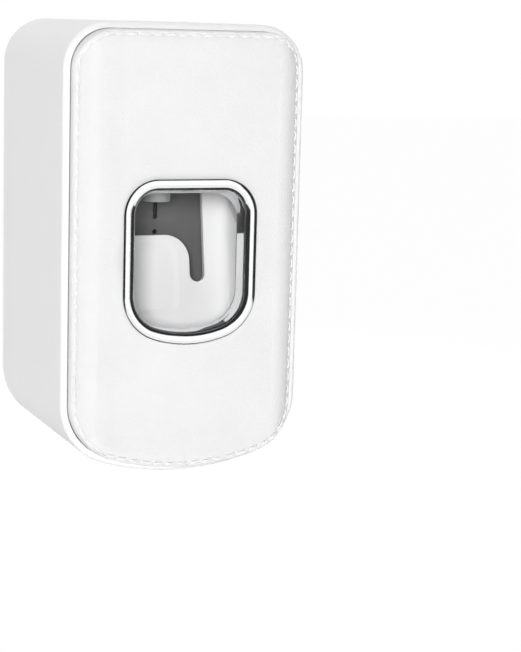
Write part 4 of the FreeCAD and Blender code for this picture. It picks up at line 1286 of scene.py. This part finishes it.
@dataclass
class FrontCover:
    """The padded front: skin, stitches, bright ring and the pan behind them."""

    # The plain form
    inset: float = 2.55
    front_depth: float = 82.0
    roll_radius: float = 10.0
    steepest_share: float = 0.95
    flat_half: float = 30.79
    edge_round: float = 0.6
    tuck_depth: float = 75.0
    skin: float = 1.0
    padding: float = 2.5
    padding_play: float = 0.05
    hole_inset: float = 2.95
    fill: float = 0.85
    # How the padding lifts and the stitches draw it down
    groove: float = 0.34
    groove_half_width: float = 0.5
    groove_between_share: float = 0.62
    swell: float = 0.22
    swell_run: float = 2.6
    swell_fade: float = 8.0
    welt: float = 0.08
    welt_inset: float = 0.6
    welt_half_width: float = 0.3
    ridge_left: float = 0.45
    ridge_right: float = -0.1
    ridge_run: float = 8.0
    ridge_hold: float = 1.0
    ridge_fade: float = 5.0
    pucker: float = 0.07
    pucker_reach: float = 1.6
    pucker_start: float = 0.7
    pucker_stray: float = 1.3
    pucker_waves: float = 0.21
    sway: float = 0.05
    sway_waves: float = 0.055
    sway_start: float = 6.0
    press: float = 0.14
    press_edge: float = 2.3
    press_fade: float = 1.9
    puff: float = 0.10
    puff_place: float = 6.0
    puff_half_width: float = 1.7
    calm_edge: float = 3.2
    calm_fade: float = 2.0
    side_bulge: float = 0.3
    # The rows of points of the skin
    spacing: float = 0.6
    fine_run: float = 8.0
    fine_insets: tuple[float, ...] = (
        0.0, 0.06, 0.2, 0.4, 0.6, 0.8, 1.0, 1.2, 1.4, 1.55, 1.7, 1.85, 2.0, 2.1, 2.2, 2.35, 2.5, 2.65, 2.8,
        3.0, 3.25, 3.55, 3.9, 4.3, 4.8, 5.4, 6.1, 7.0)
    wide_steps: int = 26
    side_shares: tuple[float, ...] = (0.2, 0.4, 0.6, 0.8)
    back_insets: tuple[float, ...] = (1.01, 2.0, 3.5, 5.5)
    back_shares: tuple[float, ...] = (0.0, 0.25, 0.5, 0.75, 1.0)
    skin_crease_deg: float = 60.0
    # The stitches
    stitch_inset: float = 1.35
    stitch_pitch: float = 4.35
    stitch_length: float = 2.8
    stitch_sink: float = 0.48
    stitch_rise: float = 0.62
    stitch_fullness: float = 2.6
    stitch_slant: float = 0.06
    slant_stray: float = 0.03
    slant_waves: float = 0.37
    stitch_steps: int = 10
    thread_radius: float = 0.33
    thread_sides: int = 10
    ply: float = 0.13
    ply_twist: float = 5.5
    thread_crease_deg: float = 70.0
    # The ring
    ring_face: float = 4.3
    ring_front: float = 83.5
    ring_seat: tuple[Place, ...] = ((0.45, 0.0), (0.06, 0.22), (0.0, 0.3))
    ring_outer_round: float = 0.95
    ring_outer_steps: int = 10
    ring_inner_round: float = 2.0
    ring_inner_steps: int = 16
    ring_crown: float = 0.05
    crown_shares: tuple[float, ...] = (0.2, 0.4, 0.6, 0.8)
    ring_waist_depth: float = 79.0
    ring_throat: float = 3.1
    ring_throat_depth: float = 75.3
    ring_break: float = 0.2
    ring_spacing: float = 0.9
    ring_crease_deg: float = 45.0

    def crown(self, x: float, sink: float = 0.0) -> float:
        """Work out the depth of the front, with its rolled sides.

        Args:
            x: The place across.
            sink: How far under the outer face.

        Returns:
            The depth from the wall.
        """
        over = max(0.0, abs(x) - self.flat_half)
        radius = self.roll_radius - sink
        middle = self.front_depth - self.roll_radius
        return middle + math.sqrt(max(0.0, radius * radius - over * over))

    def outward(self, x: float) -> Vector:
        """Find the direction that the front faces.

        Args:
            x: The place across.

        Returns:
            The direction.
        """
        over = min(max(0.0, abs(x) - self.flat_half), self.roll_radius * self.steepest_share)
        lean = math.asin(over / self.roll_radius)
        return Vector((math.copysign(math.sin(lean), x), -math.cos(lean), 0.0))

    def row_point(self, point: RimPoint) -> Vector:
        """Return the point of the stitched row beside a point of the rim."""
        flat = point.moved(self.inset + self.stitch_inset, 0.0)
        return Vector((flat.x, -self.crown(flat.x), flat.z))

    def row_lengths(self, row: Sequence[Vector]) -> tuple[list[float], float, int]:
        """Measure along the stitched row.

        Args:
            row: The points of the row.

        Returns:
            The length run at each point, the whole length and the count of stitches.
        """
        run, found = 0.0, []
        for place, point in enumerate(row):
            found.append(run)
            run += (row[(place + 1) % len(row)] - point).length
        return found, run, round(run / self.stitch_pitch)

    def lift(self, run_in: float, turn: float, to_hole: float, place: Vector) -> float:
        """Work out how far the padded skin stands off its plain form.

        Args:
            run_in: How far in from the edge of the skin.
            turn: The stitch angle beside it, a whole turn for each stitch.
            to_hole: How far it is to the window hole.
            place: The point of the plain form.

        Returns:
            The lift in millimetres.
        """
        from_row = run_in - self.stitch_inset
        between = self.groove_between_share
        pull = between + (1.0 - between) * (0.5 + 0.5 * math.cos(turn))
        drawn = self.groove * pull * bell(from_row, self.groove_half_width)
        rise = 0.0
        if from_row > 0.0:
            fall = smooth_step((from_row - self.swell_run) / self.swell_fade)
            rise = self.swell * smooth_step(from_row / self.swell_run) * (1.0 - fall)
        welt = self.welt * bell(run_in - self.welt_inset, self.welt_half_width)
        off_side = abs(place.x) - self.flat_half
        ridge = self.ridge_left if place.x < 0.0 else self.ridge_right
        ridge *= smooth_step(1.0 + off_side / self.ridge_run)
        ridge *= 1.0 - smooth_step((off_side - self.ridge_hold) / self.ridge_fade)
        stray = self.pucker_stray * noise.noise(place * self.pucker_waves)
        crimp = self.pucker * math.exp(-abs(from_row) / self.pucker_reach) * math.cos(turn + stray)
        crimp *= smooth_step(abs(from_row) / self.pucker_start)
        wave = self.sway * noise.noise(place * self.sway_waves) * smooth_step(from_row / self.sway_start)
        held = self.press * (1.0 - smooth_step((to_hole - self.press_edge) / self.press_fade))
        puff = self.puff * bell(to_hole - self.puff_place, self.puff_half_width)
        loose = smooth_step((to_hole - self.calm_edge) / self.calm_fade)
        return rise + welt + ridge + puff + (wave - crimp) * loose - drawn - held

    def front_point(
        self, point: RimPoint, end: RimPoint, turn: float, run_in: float, share: float
    ) -> Vector:
        """Place a point of the skin's outer face.

        Args:
            point: The point of the rim that it starts from.
            end: The point of the window that it leads to.
            turn: The stitch angle beside it.
            run_in: How far in from the edge it starts.
            share: How much of the way to the window it has gone.

        Returns:
            The point.
        """
        start = point.moved(self.inset + run_in, 0.0)
        goal = end.moved(self.hole_inset, 0.0)
        flat = start.lerp(goal, share)
        plain = Vector((flat.x, -self.crown(flat.x), flat.z))
        out = self.outward(flat.x)
        near = max(0.0, 1.0 - run_in / self.edge_round)
        drop = self.edge_round * (1.0 - math.sqrt(1.0 - near * near)) * abs(out.y)
        lifted = self.lift(run_in + (start - flat).length, turn, (goal - flat).length, plain)
        return plain + out * (lifted * (1.0 - near) - drop)

    def back_point(self, point: RimPoint, end: RimPoint, run_in: float, share: float) -> Vector:
        """Place a point of the face that lies on the pan.

        Args:
            point: The point of the rim that it starts from.
            end: The point of the window that it leads to.
            run_in: How far in from the edge it starts.
            share: How much of the way to the window it has gone.

        Returns:
            The point.
        """
        flat = point.moved(self.inset + run_in, 0.0).lerp(end.moved(self.hole_inset, 0.0), share)
        depth = self.crown(flat.x, self.padding) + self.padding_play
        return Vector((flat.x, -max(depth, self.tuck_depth), flat.z))

    def side_row(self, edge: Sequence[Vector], rim: Sequence[RimPoint], share: float) -> list[Vector]:
        """Place one row of the skin's side, which bulges a little.

        Args:
            edge: The row at the front edge.
            rim: The rim of the cover.
            share: How much of the way to the case it has gone.

        Returns:
            The points of the row.
        """
        bulge = self.side_bulge * math.sin(math.pi * share)
        return [Vector((spot.x + bulge * point.out_x, spot.y + (-self.tuck_depth - spot.y) * share,
                        spot.z + bulge * point.out_z)) for spot, point in zip(edge, rim)]

    def build_skin(self) -> bpy.types.Object:
        """Build the padded skin, drawn down along its stitches and rolled over the sides.

        Returns:
            The skin with its padding.
        """
        steps = BODY_OUTLINE.steps(self.spacing)
        rim = BODY_OUTLINE.rim(steps)
        hole = WINDOW_OUTLINE.rim(steps)
        lengths, whole, count = self.row_lengths([self.row_point(point) for point in rim])
        turns = [2.0 * math.pi * count * run / whole for run in lengths]
        pairs = list(zip(rim, hole))
        wide = [step / self.wide_steps for step in reversed(range(self.wide_steps + 1))]
        front_rows = [(self.fine_run, share) for share in wide]
        front_rows += [(run_in, 0.0) for run_in in reversed(self.fine_insets)]
        back_rows = [(run_in, 0.0) for run_in in self.back_insets]
        back_rows += [(self.fine_run, share) for share in self.back_shares]
        rows = [[self.front_point(*pair, turn, *way) for pair, turn in zip(pairs, turns)]
                for way in front_rows]
        edge = rows[-1]
        rows += [self.side_row(edge, rim, share) for share in self.side_shares]
        rows += [[point.moved(inset, self.tuck_depth) for point in rim]
                 for inset in (self.inset, self.inset + self.skin)]
        rows += [[self.back_point(*pair, *way) for pair in pairs] for way in back_rows]
        draft = MeshDraft()
        draft.loft(rows, wrap=True)
        return draft.piece("padded_skin", self.skin_crease_deg)

    def build_stitches(self) -> bpy.types.Object:
        """Build the row of two-ply stitches round the skin.

        Returns:
            The stitches as one piece.
        """
        row = [self.row_point(point) for point in BODY_OUTLINE.rim(BODY_OUTLINE.steps(self.spacing))]
        lengths, whole, count = self.row_lengths(row)
        ends = lengths[1:] + [whole]
        half = self.stitch_length / 2.0

        def along(run: float) -> Vector:
            """Find a point of the row.

            Args:
                run: The length run to it.

            Returns:
                The point.
            """
            run %= whole
            place = bisect_right(lengths, run) - 1
            share = (run - lengths[place]) / (ends[place] - lengths[place])
            return row[place].lerp(row[(place + 1) % len(row)], share)

        def thickness(share: float, angle: float) -> float:
            """Return the radius of the twisted thread."""
            return self.thread_radius * (1.0 + self.ply * math.cos(2.0 * (angle - self.ply_twist * share)))

        draft = MeshDraft()
        for stitch in range(count):
            middle_run = whole * (stitch + 0.5) / count
            middle = along(middle_run)
            out = self.outward(middle.x)
            way = (along(middle_run + half) - along(middle_run - half)).normalized()
            side = out.cross(way)
            slant = self.stitch_slant + self.slant_stray * noise.noise(middle * self.slant_waves)
            path = []
            for step in range(self.stitch_steps + 1):
                share = 2.0 * step / self.stitch_steps - 1.0
                bow = math.sqrt(max(0.0, 1.0 - abs(share) ** self.stitch_fullness))
                height = self.stitch_rise * bow - self.stitch_sink
                path.append(along(middle_run + half * share) + out * height + side * (slant * half * share))
            draft.sweep(path, thickness, self.thread_sides)
        return draft.piece("stitch_row", self.thread_crease_deg)

    def build_ring(self) -> bpy.types.Object:
        """Build the bright ring round the window.

        Returns:
            The ring.
        """
        face, front, back = self.ring_face, self.ring_front, self.front_depth
        outer, inner = self.ring_outer_round, self.ring_inner_round
        end, throat = self.ring_throat_depth, self.ring_throat
        profile = [(inset, back + rise) for inset, rise in self.ring_seat]
        profile += arc((outer, front - outer), outer, 180.0, 90.0, self.ring_outer_steps)
        for share in self.crown_shares:
            swell = self.ring_crown * math.sin(math.pi * share)
            profile.append((outer + (face - inner - outer) * share, front + swell))
        profile += arc((face - inner, front - inner), inner, 90.0, 0.0, self.ring_inner_steps)
        profile += [
            (face, self.ring_waist_depth), (face, end + self.ring_break), (face - self.ring_break, end),
            (throat, end), (throat, back)]
        rim = WINDOW_OUTLINE.rim(WINDOW_OUTLINE.steps(self.ring_spacing))
        draft = MeshDraft()
        draft.loft([[point.moved(inset, depth) for point in rim] for inset, depth in profile], wrap=True)
        return draft.piece("bright_ring", self.ring_crease_deg)

    def dress(self, shop: Workshop) -> None:
        """Build the skin, stitches and ring, and finish the pieces behind them.

        Args:
            shop: The workshop that finishes them.
        """
        skin = shop.settle(self.build_skin(), Body.COVER, LEATHER, "leather_skin", "foam_pad")
        shop.settle(self.build_stitches(), Body.COVER, THREAD)
        shop.settle(self.build_ring(), Body.COVER, CHROME, "window_bezel")
        shop.dress("cover_carrier", SATIN_WHITE)
        shop.dress("bezel_retainer", LIGHT_GREY)
        shop.dress("cover_magnets", STEEL)


# Studio


@dataclass(frozen=True)
class SoftBox:
    """A soft lamp: where it stands, what it faces, its size in metres and its power."""

    name: str
    place: tuple[float, float, float]
    width: float
    height: float
    power: float
    role: Role
    aim: tuple[float, float, float] = (0.0, -0.05, 0.0)

    def build(self) -> None:
        """Hang the lamp."""
        lamp = bpy.data.lights.new(self.name, "AREA")
        lamp.shape = "RECTANGLE"
        lamp.size, lamp.size_y = self.width, self.height
        lamp.energy = self.power
        made = bpy.data.objects.new(self.name, lamp)
        made.location = self.place
        way = Vector(self.aim) - Vector(self.place)
        made.rotation_euler = way.to_track_quat("-Z", "Y").to_euler()
        made.visible_glossy = self.role is Role.MIRROR
        made.visible_diffuse = self.role is Role.LIGHT
        made.visible_camera = False
        bpy.context.scene.collection.objects.link(made)


@dataclass
class Studio:
    """The camera, pale floor, lamps and surroundings."""

    eye: tuple[float, float, float] = (-0.207894, -0.638319, 0.076863)
    right: tuple[float, float, float] = (0.92326298, -0.38317225, 0.02764949)
    ahead: tuple[float, float, float] = (0.38219428, 0.90884903, -0.16709571)
    up: tuple[float, float, float] = (0.03889723, 0.16484076, 0.98555291)
    focal_px: float = 1810.68
    clip: tuple[float, float] = (0.01, 40.0)
    floor_height: float = -0.30
    floor_half: float = 6.0
    ambient: float = 0.09
    room_dark: float = 0.03
    floor_white: float = 0.985
    floor_tints: tuple[Colour, Colour] = ((0.86, 0.86, 0.86), (0.9, 0.9, 0.9))
    floor_cloud: float = 3.0
    floor_detail: float = 3.0
    # Where the floor's painted shade, as bright surfaces see it, gives way to white, in metres along Y.
    floor_shade_span: tuple[float, float] = (0.1, 0.6)
    room_fade: tuple[float, float] = (-0.15, 0.25)
    lamps: tuple[SoftBox, ...] = (
        SoftBox("key_box", (-0.55, -1.40, 0.24), 0.3, 0.3, 16.5, Role.LIGHT),
        SoftBox("right_box", (0.99, -1.07, 0.12), 0.9, 0.9, 1.6, Role.LIGHT),
        SoftBox("left_side_box", (-1.28, 0.26, 0.15), 1.0, 1.2, 3.6, Role.LIGHT),
        SoftBox("right_side_box", (1.15, 0.70, 0.15), 1.0, 1.2, 11.0, Role.LIGHT),
        SoftBox("top_box", (0.0, 0.1, 1.2), 1.0, 0.8, 6.5, Role.LIGHT),
        SoftBox("back_box", (0.2, 1.4, 0.3), 1.0, 1.0, 13.0, Role.LIGHT),
        SoftBox("front_card", (0.303, -1.45, 0.15), 0.78, 1.2, 3.4, Role.MIRROR),
        SoftBox("floor_card", (0.25, -0.95, -0.295), 1.2, 1.2, 4.4, Role.MIRROR, (0.25, -0.95, 1.0)),
    )

    def build_camera(self) -> None:
        """Stand the camera where the photograph was taken from."""
        lens = bpy.data.cameras.new("view")
        lens.sensor_width = SENSOR_MM
        lens.lens = SENSOR_MM * self.focal_px / IMAGE_HEIGHT_PX
        lens.clip_start, lens.clip_end = self.clip
        made = bpy.data.objects.new("view", lens)
        back = -Vector(self.ahead)
        spin = Matrix((self.right, self.up, back)).transposed().to_4x4()
        made.matrix_world = Matrix.Translation(self.eye) @ spin
        bpy.context.scene.collection.objects.link(made)
        bpy.context.scene.camera = made

    def build_floor(self) -> None:
        """Lay the pale floor, white to the camera but for the object's shadow, and clear from below. To
        bright surfaces it glows white behind the object and dim below and before it, which is a painted
        shade.
        """
        reach = self.floor_half
        mesh = bpy.data.meshes.new("floor")
        corners = [(-reach, -reach), (reach, -reach), (reach, reach), (-reach, reach)]
        mesh.from_pydata([(x, y, self.floor_height) for x, y in corners], [], [(0, 1, 2, 3)])
        made = bpy.data.objects.new("floor", mesh)
        bpy.context.scene.collection.objects.link(made)
        paint = bpy.data.materials.new("pale_floor")
        paint.use_nodes = True
        paint.node_tree.nodes.clear()
        sheet = NodeSheet(paint.node_tree)
        matt = sheet.place("ShaderNodeBsdfDiffuse")
        patches = sheet.cloud(self.floor_cloud, self.floor_detail)
        sheet.give(matt.inputs["Color"], sheet.tint(patches, *self.floor_tints))
        white = sheet.place("ShaderNodeEmission")
        mix = sheet.place("ShaderNodeMixShader")
        path = sheet.place("ShaderNodeLightPath")
        mirrored = path.outputs["Is Glossy Ray"]
        spot = sheet.place("ShaderNodeSeparateXYZ")
        sheet.give(spot.inputs[0], sheet.place("ShaderNodeTexCoord").outputs["Object"])
        # Painted shade: bright surfaces see the floor glow dim below and in front of the object and white
        # behind it, in place of its lit look.
        behind = sheet.spread(spot.outputs["Y"], *self.floor_shade_span, self.room_dark, 1.0)
        sheet.give(white.inputs["Strength"], sheet.blend(mirrored, 1.0, behind))
        seen = sheet.math("MAXIMUM", path.outputs["Is Camera Ray"], path.outputs["Is Transmission Ray"])
        seen = sheet.math("MAXIMUM", seen, mirrored)
        sheet.give(mix.inputs[0], sheet.math("MULTIPLY", seen, self.floor_white))
        sheet.give(mix.inputs[1], matt.outputs[0])
        sheet.give(mix.inputs[2], white.outputs[0])
        under = sheet.place("ShaderNodeMixShader")
        sheet.give(under.inputs[0], sheet.place("ShaderNodeNewGeometry").outputs["Backfacing"])
        sheet.give(under.inputs[1], mix.outputs[0])
        sheet.give(under.inputs[2], sheet.place("ShaderNodeBsdfTransparent").outputs[0])
        sheet.give(sheet.place("ShaderNodeOutputMaterial").inputs["Surface"], under.outputs[0])
        mesh.materials.append(paint)

    def build_world(self) -> None:
        """Surround the object: white behind it, a dim room before it and an even glow for the rest."""
        world = bpy.data.worlds.new("studio")
        world.use_nodes = True
        world.node_tree.nodes.clear()
        bpy.context.scene.world = world
        sheet = NodeSheet(world.node_tree)
        path = sheet.place("ShaderNodeLightPath")
        way = sheet.place("ShaderNodeSeparateXYZ")
        sheet.give(way.inputs[0], sheet.place("ShaderNodeTexCoord").outputs["Generated"])
        behind = sheet.spread(way.outputs["Y"], *self.room_fade, self.room_dark, 1.0)
        seen = sheet.math("MAXIMUM", path.outputs["Is Camera Ray"], path.outputs["Is Transmission Ray"])
        strength = sheet.blend(path.outputs["Is Glossy Ray"], self.ambient, behind)
        glow = sheet.place("ShaderNodeBackground")
        glow.inputs["Color"].default_value = (1.0, 1.0, 1.0, 1.0)
        sheet.give(glow.inputs["Strength"], sheet.blend(seen, strength, 1.0))
        sheet.give(sheet.place("ShaderNodeOutputWorld").inputs["Surface"], glow.outputs[0])

    def build(self) -> None:
        """Set up the whole studio."""
        bpy.context.scene.view_settings.view_transform = "Standard"
        self.build_camera()
        self.build_floor()
        self.build_world()
        for lamp in self.lamps:
            lamp.build()


def main() -> None:
    """Build the studio and the sub-assemblies in order."""
    logging.basicConfig(level=logging.INFO, format="%(name)s: %(message)s")
    shop = Workshop()
    Studio().build()
    for assembly in (WallMount(), Case(), TubeSeat(), SqueezeUnit(), FrontCover()):
        assembly.dress(shop)


if __name__ == "__main__":
    main()
